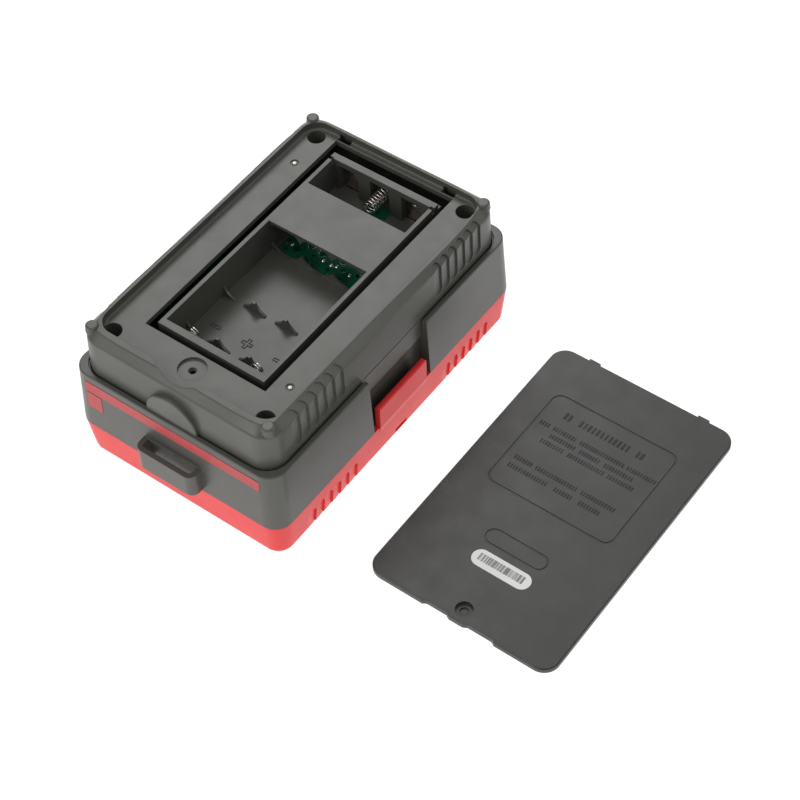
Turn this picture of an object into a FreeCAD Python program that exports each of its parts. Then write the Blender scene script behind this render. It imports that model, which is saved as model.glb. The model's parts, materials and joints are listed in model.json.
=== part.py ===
"""Circuit breaker finder: a hand-held electrical tester lying face down on its push-on front
cover, with the battery door taken off and laid beside it.

Millimetres.  X is across the case, Y along it, +Z up.  The origin is the centre of the cover's
resting face.  The instrument's back, with the open battery compartment, looks up; its front panel
looks down into the cover.
"""
import FreeCAD, Part
import math
import os
from FreeCAD import Vector

# ---------------------------------------------------------------- case: overall sizes
case_width = 104.8          # front case across X, at its lower edge
case_length = 160.6         # front case along Y, at its lower edge
case_corner = 8.0           # plan radius of the front case and the cover
case_draft = 1.3            # each side of the front case leans in by this over its height
cover_height = 19.9
belt_height = 30.5          # front case, from the cover's rim to the ledge
rear_height = 20.8          # rear case, from the ledge to the rim
wall = 2.5
rim_gap = 0.1               # between the cover's rim and the front case
fit_gap = 0.25              # between mouldings that nest
running_gap = 0.35          # round whatever slides or turns

# ---------------------------------------------------------------- rear case
ledge_width = 2.9           # the ledge of the front case round the foot of the rear case
ledge_edge_round = 0.6
seam_gap = 0.6              # groove between the ledge and the foot of the rear case
seam_depth = 1.2
rear_lean_x = 0.4           # the rear case leans in by this on its long sides
rear_lean_y = 1.3           # and by this on its ends
rear_corner = 9.5
rim_bevel = 3.6             # the rim's outer edge is bevelled by this
rim_shoulder = 2.0          # rounds the bevel's lower edge
rim_lip = 0.7               # and its upper edge
rim_flat = 0.5              # flat of the rim between the door recess and the bevel
near_rim_extra = 2.0        # the rim's flat is this much wider at the -Y end
skirt_depth = 10.4          # the rear case reaches this far down inside the front case
recess_depth = 3.8
recess_corner = 7.5
recess_foot_round = 1.2
plate_thickness = 2.5       # the rear case's floor plate under the battery door
foot_radius = 2.7
foot_height = 1.0
foot_round = 0.9
foot_ball = 2.9             # each foot stands on a ball-shaped corner of the rim
foot_ball_drop = 2.0
foot_shift = 0.6            # from the recess's corner, along Y
well_radius = 3.9           # deep holes over the case screws
well_wall = 1.6
well_inset = 5.6            # from the recess walls to the centre of a well
door_screw_inset = 8.4      # from the recess's near wall to the door screw
door_boss_radius = 4.6
door_counterbore = 5.9
insert_radius = 2.3
door_screw_radius = 1.7
scoop_radius = 22.0
scoop_reach = 4.6           # the finger scoop cuts this far into the near rim
stud_inset_x = 7.3          # bright studs in the floor plate, from the recess walls
stud_inset_y = 22.8
stud_radius = 1.1
grip_pitch = 5.4
grip_count = 6
grip_centre = 45.7          # middle of a row of grip lobes, along Y
grip_depth = 0.85
rear_grip_low = 3.0         # above the ledge
rear_grip_high = 0.6        # below the rim
cover_grip_top = 12.5
end_disc_radius = 12.7
end_disc_proud = 1.8
end_disc_round = 0.7

# ---------------------------------------------------------------- battery tray
cell_length = 50.5
cell_radius = 7.25
lane_pitch = 16.1
lane_count = 3
lane_shift = -1.2           # of the middle lane, across the case
lane_margin = 0.6           # between an outer lane and the tray's side wall
cells_in_line = 2
spring_room = 6.6           # lane length left for the contacts
tray_side_wall = 1.8
tray_end_wall = 3.2
tray_floor_thickness = 1.2
tray_drop = 0.3             # the tray's top lies this far under the floor plate's face
trench = 3.4                # open gap between the tray and the rear case
trench_far = 5.6
tray_shift = 5.5            # the tray's middle lies this far towards +Y
tray_depth = 17.1           # from the tray's top to the floor of its lanes
bridge_start = 64.5         # from the tray's near inner wall to the bridge
bridge_width = 25.8
bridge_thickness = 1.6
window_wall = 1.0           # cross wall under the bridge's near edge, with a round window in each lane
window_radius = 8.8
window_sink = 0.4           # the windows' lowest points lie this far under the lanes' floor
fin_thickness = 1.1
fin_half_width = 5.6
fin_clear = 0.45            # between a cell and the fins
fin_height = 5.4
side_fin_height = 7.0
fin_shares = (0.093, 0.308) # where the two rows of fins stand, as shares of the lane length
mark_half = 2.6             # polarity marks, raised outlines
mark_arm = 0.8
mark_line = 0.35
mark_height = 0.35
mark_inset = 18.6           # from the tray's near inner wall
flange_reach = 6.8          # the tray's base plate reaches this far out past its walls
pocket_half = 4.9           # contact pockets in the tray's far wall
pocket_depth = 3.9
pocket_drop = 2.9           # from the tray's top to the top of a pocket
pocket_wall = 1.4
side_flange = 1.4           # further reach of the base plate on its long sides

contact_sheet = 0.5
dimple_radius = 5.0
dimple_set_back = 3.3       # the dimple's centre stands this far behind the plate's wall side
dimple_lift = 1.2
spring_radius = 2.7
spring_wire = 0.4
spring_turns = 7.5
near_spring_length = 6.3
far_spring_length = 11.2

# ---------------------------------------------------------------- battery door
door_thickness = 2.5
door_gap = 0.4              # all round the door in its recess
door_place = Vector(123.5, 4.9, 0)
door_tab_x = 26.6
door_tab_width = 5.2
door_tab_reach = 1.5
door_tab_thickness = 1.3
door_sink_radius = 3.6      # stepped round sink for the screw
door_sink = 1.5
door_step_radius = 1.9
door_step = 2.2
door_frame = (60.0, 54.0)    # outline of the sunk line on the door
door_frame_corner = 4.5
door_frame_y = 21.0
door_pill_length = 29.0
door_pill_place = (0.8, -27.6)
door_label_place = (1.2, -38.9)
door_notch_length = 35.0     # finger notch in the near edge
door_notch_depth = 1.0
door_notch_round = 3.0
door_tongue_radius = 8.6     # round tongue that fills the middle of the notch
groove_width = 0.8
groove_depth = 0.3
label_length = 27.0
label_width = 8.0
label_thickness = 0.15

# ---------------------------------------------------------------- cover and latch
cover_wall = 2.3
cover_floor = 2.2
cover_lean = 1.9            # each side of the cover leans in by this towards its foot
cover_foot_round = 3.6
plinth_height = 3.0         # the front panel reaches this far into the cover
latch_centre = 0.6          # along Y
latch_half = 19.2           # half the length of the gap in the front case
latch_tab_half = 15.8
latch_tab_height = 11.8     # of the tab above the cover's rim
latch_tab_proud = 0.6
latch_tab_thickness = 2.6
latch_tab_round = 0.8
latch_tab_root = 6.5        # the tab grows out of the cover's side this far below the rim
latch_line = 0.5            # thin line across the gap, level with the ledge
latch_pocket_depth = 5.9    # from the front case's side to the pocket's back wall
cover_slot = (7.6, 2.4, 1.4)    # small moulding slot under the tab: along Y, along Z, deep

# ---------------------------------------------------------------- strap loops and stripe
loop_half = 14.7
loop_reach = 6.2
loop_wall = 2.3
loop_height = 11.4
loop_lift = 2.0             # foot of the loop above the cover's rim
loop_round = 3.8
stripe_half = 44.0
stripe_height = 5.4
stripe_top = 3.6            # below the ledge
stripe_square = (7.5, 8.8)
stripe_space = 0.8
print_thickness = 0.15

# ---------------------------------------------------------------- front panel, under the cover
panel_thickness = 2.5
display_y = 28.0
display_size = (62.0, 34.0)
display_thickness = 1.5
display_margin = 3.0
lcd_size = (66.0, 38.0)
lcd_thickness = 5.0
key_size = (12.0, 7.0)
key_pitch = 24.0
key_y = -4.0
key_proud = 1.2
key_travel = 1.0
key_flange = 1.2
knob_x = -14.0
knob_y = -36.0
knob_radius = 17.0
knob_height = 11.0
knob_scallops = 12
shaft_radius = 3.0
shaft_gap = 0.06
test_x = 27.0
test_radius = 8.0
test_proud = 2.5
test_travel = 1.8
lamp_x = 38.0
lamp_radius = 1.5
socket_pitch = 22.0
socket_y = 60.0
socket_bore = 2.05
socket_radius = 3.4
socket_depth = 20.0
shroud_wall = 2.2
shroud_proud = 2.0

# ---------------------------------------------------------------- boards and fixings
board_thickness = 1.6
board_gap = 1.2             # round a board
panel_board_lift = 6.6      # from the panel's inner face to the panel board
panel_board_half = 53.0
post_x = 39.5
post_y = 48.0
post_radius = 2.8
screw_radius = 1.25
screw_head_radius = 2.6
screw_head = 1.8
case_screw_length = 14.0
well_seat = 2.2
tray_screw_reach = 5.0      # from the tray's outer wall to its screw bosses

solder_radius = 1.1
solder_places = ((0, -3.0, 7.5), (1, -2.9, 7.7), (1, 1.4, 7.4),    # lane, X from the lane's middle,
                 (1, 3.8, 8.2), (2, -5.1, 7.1), (2, 0.6, 9.5))     # Y from the bridge's near edge
pad_holes = ((0, 8.0, 7.8), (2, -2.3, 9.0))
pad_hole_radius = 0.8

# ---------------------------------------------------------------- levels that follow
z_rim_seat = cover_height
z_ledge = cover_height + belt_height
z_rim = z_ledge + rear_height
z_skirt = z_ledge - skirt_depth
z_plate = z_rim - recess_depth
z_plate_under = z_plate - plate_thickness
z_panel = cover_height - plinth_height
z_panel_in = z_panel + panel_thickness
z_tray_top = z_plate - tray_drop
z_lane = z_tray_top - tray_depth
z_main_board = z_lane - tray_floor_thickness - board_thickness
z_board_top = z_main_board + board_thickness
z_panel_board = z_panel_in + panel_board_lift
z_cell = z_lane + cell_radius + 0.6
z_pocket = z_tray_top - pocket_drop

# ---------------------------------------------------------------- plan sizes that follow
rear_foot = (case_width - 2 * case_draft - 2 * ledge_width,
             case_length - 2 * case_draft - 2 * ledge_width)
rear_top = (rear_foot[0] - 2 * rear_lean_x, rear_foot[1] - 2 * rear_lean_y)
recess = (rear_top[0] - 2 * (rim_bevel + rim_flat), rear_top[1] - 2 * (rim_bevel + rim_flat))
rear_inside = (rear_foot[0] - 2 * wall, rear_foot[1] - 2 * wall)
front_inside = (rear_foot[0] + 2 * fit_gap, rear_foot[1] + 2 * fit_gap)
plinth = (case_width - 2 * (cover_wall + running_gap), case_length - 2 * (cover_wall + running_gap))
recess_near = -recess[1] / 2 + near_rim_extra
recess_far = recess[1] / 2
door_width = recess[0] - 2 * door_gap
door_near = recess_near + door_gap
door_far = recess_far - door_gap
lane_length = cells_in_line * cell_length + spring_room
tray_inner_half = lane_count * lane_pitch / 2 + lane_margin
tray_outer_half = tray_inner_half + tray_side_wall
tray_near = tray_shift - lane_length / 2
tray_far = tray_shift + lane_length / 2
tray_out_near = tray_near - tray_end_wall
tray_out_far = tray_far + tray_end_wall
contact_wall = tray_far + pocket_depth
bridge_near = tray_near + bridge_start
bridge_far = bridge_near + bridge_width
opening_half = tray_outer_half + trench
opening_near = tray_out_near - trench
opening_far = tray_out_far + trench_far
well_x = recess[0] / 2 - well_inset
well_y = recess[1] / 2 - well_inset
door_screw_y = -recess[1] / 2 + door_screw_inset
lanes = [lane_shift + (i - (lane_count - 1) / 2) * lane_pitch for i in range(lane_count)]
fin_rows = [tray_near + lane_length * share for share in fin_shares]
tray_screws = [(sx * (tray_outer_half + tray_screw_reach), y)
               for sx in (-1, 1) for y in (tray_near + 9.0, tray_far - 9.0)]
posts = [(sx * post_x, sy * post_y) for sx in (-1, 1) for sy in (-1, 1)]
wells = [(sx * well_x, sy * well_y) for sx in (-1, 1) for sy in (-1, 1)]
keys = [(i - 1) * key_pitch for i in range(3)]
sockets = [(i - 1) * socket_pitch for i in range(3)]


# ================================================================ shape helpers
def rounded_outline(width, length, radius, z, x=0.0, y=0.0):
    """Closed wire of a rectangle with round corners, centred on (x, y)."""
    half_x = width / 2
    half_y = length / 2
    k = radius * math.sqrt(0.5)
    edges = []
    for turn in range(4):
        along_x = turn % 2 == 0
        a = half_x if along_x else half_y
        b = half_y if along_x else half_x
        points = [Vector(a, -b + radius, 0), Vector(a, b - radius, 0),
                  Vector(a - radius + k, b - radius + k, 0), Vector(a - radius, b, 0)]
        spin = FreeCAD.Rotation(Vector(0, 0, 1), 90 * turn)
        p = [spin.multVec(q) + Vector(x, y, z) for q in points]
        edges.append(Part.LineSegment(p[0], p[1]).toShape())
        edges.append(Part.Arc(p[1], p[2], p[3]).toShape())
    return Part.Wire(edges)


def prism(width, length, radius, z0, z1, x=0.0, y=0.0):
    face = Part.Face(rounded_outline(width, length, radius, z0, x, y))
    return face.extrude(Vector(0, 0, z1 - z0))


def tapered(foot, foot_corner, z0, top, top_corner, z1):
    """Solid between two round-cornered rectangles, each given as (width, length)."""
    lower = rounded_outline(foot[0], foot[1], foot_corner, z0)
    upper = rounded_outline(top[0], top[1], top_corner, z1)
    return Part.makeLoft([lower, upper], True, True)


def block(x0, x1, y0, y1, z0, z1):
    return Part.makeBox(x1 - x0, y1 - y0, z1 - z0, Vector(x0, y0, z0))


def rod(radius, z0, z1, x=0.0, y=0.0):
    return Part.makeCylinder(radius, z1 - z0, Vector(x, y, z0))


def rod_y(radius, y0, y1, x, z):
    return Part.makeCylinder(radius, y1 - y0, Vector(x, y0, z), Vector(0, 1, 0))


def edges_at(shape, z):
    return [e for e in shape.Edges
            if abs(e.BoundBox.ZMin - z) < 1e-4 and abs(e.BoundBox.ZMax - z) < 1e-4]


def edges_near(shape, z, reach):
    return [e for e in shape.Edges if abs(e.BoundBox.ZMin - z) < reach and abs(e.BoundBox.ZMax - z) < reach]


def plan_polygon(points, z0, z1):
    """Prism over a closed outline of (x, y) points."""
    corners = [Vector(px, py, z0) for px, py in points]
    return Part.Face(Part.makePolygon(corners + corners[:1])).extrude(Vector(0, 0, z1 - z0))


def side_polygon(points, y0, y1):
    """Prism along Y over a closed outline of (x, z) points."""
    corners = [Vector(px, y0, pz) for px, pz in points]
    return Part.Face(Part.makePolygon(corners + corners[:1])).extrude(Vector(0, y1 - y0, 0))


def fused(shapes):
    return shapes[0].multiFuse(shapes[1:]).removeSplitter() if len(shapes) > 1 else shapes[0]


def mirrored_x(shape):
    return shape.mirror(Vector(0, 0, 0), Vector(1, 0, 0))


def mirrored_y(shape):
    return shape.mirror(Vector(0, 0, 0), Vector(0, 1, 0))


# ================================================================ grip lobes
def grip_row(side_profile, lobe_outline, wall_x, centre):
    """Cutters for one row of lobes on the +X side: each is a ramp that deepens towards +Y.

    side_profile(y0, y1) is the body behind the side wall; turning it about the lobe's shallow
    edge gives the ramp.
    """
    turn = math.degrees(math.atan2(grip_depth, grip_pitch))
    cutters = []
    for i in range(grip_count):
        start = centre + (i - grip_count / 2) * grip_pitch
        behind = side_profile(start - grip_pitch, start + 2 * grip_pitch)
        behind.rotate(Vector(wall_x, start, 0), Vector(0, 0, 1), turn)
        cutters.append(lobe_outline(start).cut(behind))
    return cutters


def rear_side_profile(y0, y1):
    x_foot = rear_foot[0] / 2
    x_top = rear_top[0] / 2
    x_shoulder = x_top + rear_lean_x * rim_bevel / rear_height
    outline = [(x_foot, z_ledge), (x_shoulder, z_rim - rim_bevel), (x_top - rim_bevel, z_rim),
               (0, z_rim), (0, z_ledge)]
    return side_polygon(outline, y0, y1)


def rear_lobe(start):
    """Finger-shaped outline, round at both ends, seen from the side."""
    x0 = recess[0] / 2
    x1 = rear_foot[0] / 2 + 2.0
    half = grip_pitch / 2
    low = z_ledge + rear_grip_low + half
    high = z_rim - rear_grip_high - half
    middle = start + half
    body = block(x0, x1, start, start + grip_pitch, low, high)
    ends = [Part.makeCylinder(half, x1 - x0, Vector(x0, middle, z), Vector(1, 0, 0)) for z in (low, high)]
    return fused([body] + ends)


def cover_side_profile(y0, y1):
    x_foot = case_width / 2 - cover_lean
    return side_polygon([(0, -5.0), (x_foot, 0), (case_width / 2, z_rim_seat), (0, z_rim_seat)], y0, y1)


def cover_lobe(start):
    x0 = case_width / 2 - cover_lean - cover_wall
    half = grip_pitch / 2
    high = cover_grip_top - half
    body = block(x0, case_width / 2 + 2.0, start, start + grip_pitch, -1.0, high)
    head = Part.makeCylinder(half, case_width / 2 + 2.0 - x0, Vector(x0, start + half, high), Vector(1, 0, 0))
    return fused([body, head])


def all_grip_rows(side_profile, lobe_outline, wall_x):
    right = []
    for centre in (-grip_centre, grip_centre):
        right += grip_row(side_profile, lobe_outline, wall_x, centre)
    return right + [mirrored_x(c) for c in right]


# ================================================================ front cover
def latch_tab():
    """Tab on the +X side of the cover that grips the front case, with a rounded lip."""
    outer = case_width / 2 + latch_tab_proud
    inner = outer - latch_tab_thickness
    top = z_rim_seat + latch_tab_height
    root = z_rim_seat - latch_tab_root
    inside_wall = case_width / 2 - cover_wall
    profile = [(inside_wall, root), (inner, z_rim_seat - rim_gap), (inner, top), (outer, top),
               (outer - 0.1, z_rim_seat), (case_width / 2 - 1.0, root)]
    tab = side_polygon(profile, latch_centre - latch_tab_half, latch_centre + latch_tab_half)
    return tab.makeFillet(latch_tab_round, edges_at(tab, top))


def front_cover():
    foot = (case_width - 2 * cover_lean, case_length - 2 * cover_lean)
    rim = (case_width, case_length)
    outer = tapered(foot, case_corner - 1.0, 0, rim, case_corner, z_rim_seat - rim_gap)
    outer = outer.makeFillet(cover_foot_round, edges_at(outer, 0))
    inner_foot = (foot[0] - 2 * cover_wall, foot[1] - 2 * cover_wall)
    inner_rim = (rim[0] - 2 * cover_wall, rim[1] - 2 * cover_wall)
    hollow = tapered(inner_foot, case_corner - cover_wall - 1.0, cover_floor,
                     inner_rim, case_corner - cover_wall, z_rim_seat)
    shell = outer.cut(all_grip_rows(cover_side_profile, cover_lobe, case_width / 2 - cover_lean / 2))
    tab = latch_tab()
    slot_y, slot_z, slot_deep = cover_slot
    slot_x = case_width / 2 - cover_lean + 0.6
    slot = block(slot_x - slot_deep, slot_x + 4.0, latch_centre - slot_y / 2, latch_centre + slot_y / 2,
                 cover_foot_round - 0.8, cover_foot_round - 0.8 + slot_z)
    shell = fused([shell, tab, mirrored_x(tab)])
    return shell.cut([hollow, slot, mirrored_x(slot)])


# ================================================================ front case
def strap_loop():
    """Loop on the -Y end: a rounded bow round a slot."""
    z0 = z_rim_seat + loop_lift
    z1 = z0 + loop_height
    end = -case_length / 2
    root = end + case_draft + wall / 2
    tip = end - loop_reach
    bow = prism(2 * loop_half, root + loop_round - tip, loop_round, z0, z1, 0, (root + loop_round + tip) / 2)
    bow = bow.cut(block(-loop_half, loop_half, root, root + 2 * loop_round, z0, z1))
    slot_tip = tip + loop_wall
    slot_root = end + case_draft * (1 - (z1 - z_rim_seat) / belt_height)
    slot = prism(2 * (loop_half - loop_wall), slot_root + 4.0 - slot_tip, 1.5, z0, z1,
                 0, (slot_root + 4.0 + slot_tip) / 2)
    keep = block(-loop_half, loop_half, end, root + 4.0, z0, z1)
    return bow.cut(slot.cut(keep))


def panel_openings():
    """Everything that passes through the front panel."""
    through = (z_panel - 5.0, z_panel_in + 1.0)
    width, length = display_size
    inner = 2 * display_margin
    cuts = [prism(width + 2 * fit_gap, length + 2 * fit_gap, 3.0, through[0], z_panel + display_thickness,
                  0, display_y),
            prism(width - inner, length - inner, 1.5, through[0], through[1], 0, display_y)]
    for x in keys:
        cuts.append(prism(key_size[0] + 2 * running_gap, key_size[1] + 2 * running_gap, 2.5,
                          through[0], through[1], x, key_y))
    cuts.append(rod(test_radius + running_gap, through[0], through[1], test_x, knob_y))
    cuts.append(rod(shaft_radius + 1.0, through[0], through[1], knob_x, knob_y))
    for side in (-1, 1):
        cuts.append(rod(lamp_radius, through[0], through[1], side * lamp_x, display_y))
    for x in sockets:
        cuts.append(rod(socket_radius, through[0], z_panel_in + 30.0, x, socket_y))
    return cuts


def latch_pocket_walls():
    """Back wall and end walls of the pocket behind the latch tab, on the +X side."""
    back_out = case_width / 2 - latch_pocket_depth
    back_in = back_out - wall + 0.4
    y0 = latch_centre - latch_half
    y1 = latch_centre + latch_half
    top = z_skirt
    back = block(back_in, back_out, y0 - 2.0, y1 + 2.0, z_panel_in, top)
    ends = [block(back_in, front_inside[0] / 2 + 0.5, y, y + 2.0, z_panel_in, top) for y in (y0 - 2.0, y1)]
    return [back] + ends


def front_case():
    foot = (case_width, case_length)
    top = (case_width - 2 * case_draft, case_length - 2 * case_draft)
    outer = tapered(foot, case_corner, z_rim_seat, top, case_corner, z_ledge)
    outer = outer.makeFillet(ledge_edge_round, edges_at(outer, z_ledge))
    base = prism(plinth[0], plinth[1], case_corner - cover_wall, z_panel, z_rim_seat)
    shell = fused([outer, base])
    hollow = prism(front_inside[0], front_inside[1], rear_corner, z_panel_in, z_ledge + 1.0)
    seam = prism(front_inside[0] + 2 * seam_gap, front_inside[1] + 2 * seam_gap, rear_corner + seam_gap,
                 z_ledge - seam_depth, z_ledge + 1.0)
    shell = shell.cut([hollow, seam])
    shelf_out = prism(front_inside[0] + 1.0, front_inside[1] + 1.0, rear_corner, z_skirt - wall, z_skirt)
    shelf_in = prism(rear_inside[0], rear_inside[1], rear_corner - wall, z_skirt - wall, z_skirt)
    y0 = latch_centre - latch_half
    y1 = latch_centre + latch_half
    gap = block(case_width / 2 - latch_pocket_depth, case_width, y0, y1, z_rim_seat, z_ledge + 1.0)
    shell = fused([shell, shelf_out.cut(shelf_in)]).cut([gap, mirrored_x(gap)])
    walls = latch_pocket_walls()
    posts_up = [rod(post_radius, z_panel_in, z_panel_board, x, y) for x, y in posts]
    pillars = [rod(well_radius + 0.6, z_panel_in, z_skirt + 2.0, x, y) for x, y in wells]
    shrouds = [rod(socket_radius + shroud_wall, z_panel - shroud_proud, z_panel_in + 14.0, x, socket_y)
               for x in sockets]
    loop = strap_loop()
    shell = fused([shell, loop, mirrored_y(loop)] + walls + [mirrored_x(w) for w in walls]
                  + posts_up + pillars + shrouds)
    cuts = panel_openings()
    cuts += [rod(screw_radius, z_panel_board - 5.0, z_panel_board, x, y) for x, y in posts]
    cuts += [rod(screw_radius, z_skirt + 2.0 - case_screw_length, z_skirt + 2.0, x, y) for x, y in wells]
    return shell.cut(cuts)


def end_stripe():
    """Printed stripe with a square under its end, on the -Y end face."""
    def skin(extra):
        foot = (case_width + 2 * extra, case_length + 2 * extra)
        top = (foot[0] - 2 * case_draft, foot[1] - 2 * case_draft)
        return tapered(foot, case_corner, z_rim_seat, top, case_corner, z_ledge)
    z1 = z_ledge - stripe_top
    z0 = z1 - stripe_height
    outside = -case_length / 2 - 1.0
    square_z1 = z0 - stripe_space
    square_z0 = square_z1 - stripe_square[1]
    marks = [block(-stripe_half, stripe_half, outside, outside + 5.0, z0, z1),
             block(-stripe_half, -stripe_half + stripe_square[0], outside, outside + 5.0,
                   square_z0, square_z1)]
    layer = skin(print_thickness).cut(skin(0.0))
    return Part.makeCompound([layer.common(m) for m in marks])


# ================================================================ rear case
def finger_scoop():
    """Round scoop in the near rim, down to the floor plate, to lift the door by."""
    centre_y = recess_near + scoop_radius - scoop_reach
    keep = block(-scoop_radius, scoop_radius, recess_near - scoop_reach, recess_near + recess_foot_round,
                 z_plate, z_rim + 2.0)
    return rod(scoop_radius, z_plate, z_rim + 2.0, 0, centre_y).common(keep)


def tab_slots():
    """Slots under the recess's far wall that take the door's tabs."""
    y0 = opening_far + 0.7
    y1 = recess_far + door_tab_reach - door_gap + 0.5
    half = door_tab_width / 2 + 0.5
    return [block(side * door_tab_x - half, side * door_tab_x + half, y0, y1,
                  z_plate_under - 0.1, z_plate + door_tab_thickness + 0.4) for side in (-1, 1)]


def end_disc():
    """Half-round pad standing on the ledge at the -Y end."""
    y_face = -rear_foot[1] / 2 - end_disc_proud
    disc = rod_y(end_disc_radius, y_face, y_face + 6.0, 0, z_ledge + 0.3)
    front = [e for e in disc.Edges if e.BoundBox.YMax < y_face + 0.1]
    disc = disc.makeFillet(end_disc_round, front)
    above = block(-20, 20, y_face - 1, y_face + 8, z_ledge, z_ledge + 20)
    return disc.common(above)


def latch_seam_line():
    """Cutter for the thin line across the latch gap, on the +X side."""
    face = rear_foot[0] / 2
    half = latch_half - seam_gap
    return block(face - latch_line, face + 1.0, latch_centre - half, latch_centre + half,
                 z_ledge - latch_line / 2, z_ledge + latch_line / 2)


def corner_foot(side_x, side_y):
    """Round-topped foot on a ball-shaped corner of the rim."""
    x = side_x * recess[0] / 2
    y = side_y * (recess[1] / 2 - foot_shift)
    ball = Part.makeSphere(foot_ball, Vector(x, y, z_rim - foot_ball_drop))
    pin = rod(foot_radius, z_rim - foot_ball_drop, z_rim + foot_height, x, y)
    return fused([ball, pin.makeFillet(foot_round, edges_at(pin, z_rim + foot_height))])


def rear_case():
    outer = tapered(rear_foot, rear_corner, z_ledge, rear_top, rear_corner - 0.5, z_rim)
    outer = outer.makeChamfer(rim_bevel, edges_at(outer, z_rim))
    outer = outer.makeFillet(rim_shoulder, edges_near(outer, z_rim - rim_bevel, 0.3))
    outer = outer.makeFillet(rim_lip, edges_at(outer, z_rim))
    lobes = all_grip_rows(rear_side_profile, rear_lobe, rear_foot[0] / 2 - rear_lean_x / 2)
    outer = outer.cut(lobes)
    skirt = prism(rear_foot[0], rear_foot[1], rear_corner, z_skirt, z_ledge)
    disc = end_disc()
    feet = [corner_foot(side_x, side_y) for side_x in (-1, 1) for side_y in (-1, 1)]
    shell = fused([outer, skirt, disc, mirrored_y(disc)] + feet)
    hollow = prism(rear_inside[0], rear_inside[1], rear_corner - wall, z_skirt - 1.0, z_plate_under)
    pocket = prism(recess[0], recess_far - recess_near, recess_corner, z_plate, z_rim + 5.0,
                   0, (recess_far + recess_near) / 2)
    pocket = pocket.makeFillet(recess_foot_round, edges_at(pocket, z_plate))
    opening = block(-opening_half, opening_half, opening_near, opening_far, z_plate_under - 1, z_plate + 1)
    shell = shell.cut([hollow, pocket, opening, finger_scoop()])
    tubes = [rod(well_radius + well_wall, z_skirt + 2.0, z_plate_under, x, y) for x, y in wells]
    boss = rod(door_boss_radius, z_plate_under - 6.0, z_plate_under, 0, door_screw_y)
    shell = fused([shell] + tubes + [boss])
    cuts = [rod(well_radius, z_skirt + 2.0 + well_seat, z_plate + recess_foot_round, x, y) for x, y in wells]
    cuts += [rod(screw_radius + 0.4, z_skirt, z_plate, x, y) for x, y in wells]
    cuts += [rod(door_counterbore, z_plate - 1.1, z_rim, 0, door_screw_y),
             rod(door_screw_radius, z_plate_under - 7.0, z_plate, 0, door_screw_y),
             rod(insert_radius, z_plate_under - 7.0, z_plate_under, 0, door_screw_y)]
    for x, y in stud_places():
        cuts.append(rod(stud_radius, z_plate_under - 1.0, z_rim, x, y))
        cuts.append(rod(stud_radius + 0.7, z_plate - 0.5, z_rim, x, y))
    line = latch_seam_line()
    return shell.cut(cuts + tab_slots() + [line, mirrored_x(line)])


def stud_places():
    x = recess[0] / 2 - stud_inset_x
    y = recess[1] / 2 - stud_inset_y
    return [(-x, y), (x, -y)]


def plate_studs():
    """Two bright metal studs set in the floor plate."""
    studs = [rod(stud_radius, z_plate_under, z_plate - 0.1, x, y) for x, y in stud_places()]
    studs = [s.makeFillet(0.4, edges_at(s, z_plate - 0.1)) for s in studs]
    return Part.makeCompound(studs)


def door_screw_insert():
    outer = rod(insert_radius, z_plate_under - 6.0, z_plate_under, 0, door_screw_y)
    return outer.cut(rod(screw_radius, z_plate_under - 7.0, z_plate_under + 1.0, 0, door_screw_y))


def case_screws():
    """Four screws at the bottom of the deep wells."""
    seat = z_skirt + 2.0 + well_seat
    screws = []
    for x, y in wells:
        head = rod(screw_head_radius, seat, seat + screw_head, x, y)
        cross = block(x - 1.5, x + 1.5, y - 0.35, y + 0.35, seat + 0.8, seat + 3)
        cross = fused([cross, block(x - 0.35, x + 0.35, y - 1.5, y + 1.5, seat + 0.8, seat + 3)])
        shank = rod(screw_radius, z_skirt + 2.0 - case_screw_length, seat, x, y)
        screws.append(fused([head, shank]).cut(cross))
    return Part.makeCompound(screws)


# ================================================================ battery tray and contacts
def lane_fins():
    """Cusped fins between the lanes, and half fins on the side walls."""
    fins = []
    cells = [rod_y(cell_radius + fin_clear, tray_near, tray_far, x, z_cell) for x in lanes]
    borders = [(a + b) / 2 for a, b in zip(lanes, lanes[1:])]
    for y in fin_rows:
        for x in borders:
            fin = block(x - fin_half_width, x + fin_half_width, y, y + fin_thickness,
                        z_lane - 0.2, z_lane + fin_height)
            fins.append(fin.cut(cells))
        for side in (-1, 1):
            x0 = side * (tray_inner_half + 0.2)
            x1 = side * (tray_inner_half - fin_half_width)
            fin = block(min(x0, x1), max(x0, x1), y, y + fin_thickness,
                        z_lane - 0.2, z_lane + side_fin_height)
            fins.append(fin.cut(cells))
    return fins


def mark_bars(x, y, inset, crossed):
    """Bar of a polarity mark along X, and a second one across it for a plus."""
    half = mark_half - inset
    arm = mark_arm - inset
    low = z_lane - 0.2
    high = z_lane + mark_height + inset
    bars = [block(x - half, x + half, y - arm, y + arm, low, high)]
    if crossed:
        bars.append(block(x - arm, x + arm, y - half, y + half, low, high))
    return fused(bars)


def polarity_marks():
    """Raised outlines of minus, plus, minus at the near end of the lanes."""
    y = tray_near + mark_inset
    return [mark_bars(x, y, 0.0, x == lanes[1]).cut(mark_bars(x, y, mark_line, x == lanes[1])) for x in lanes]


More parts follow.
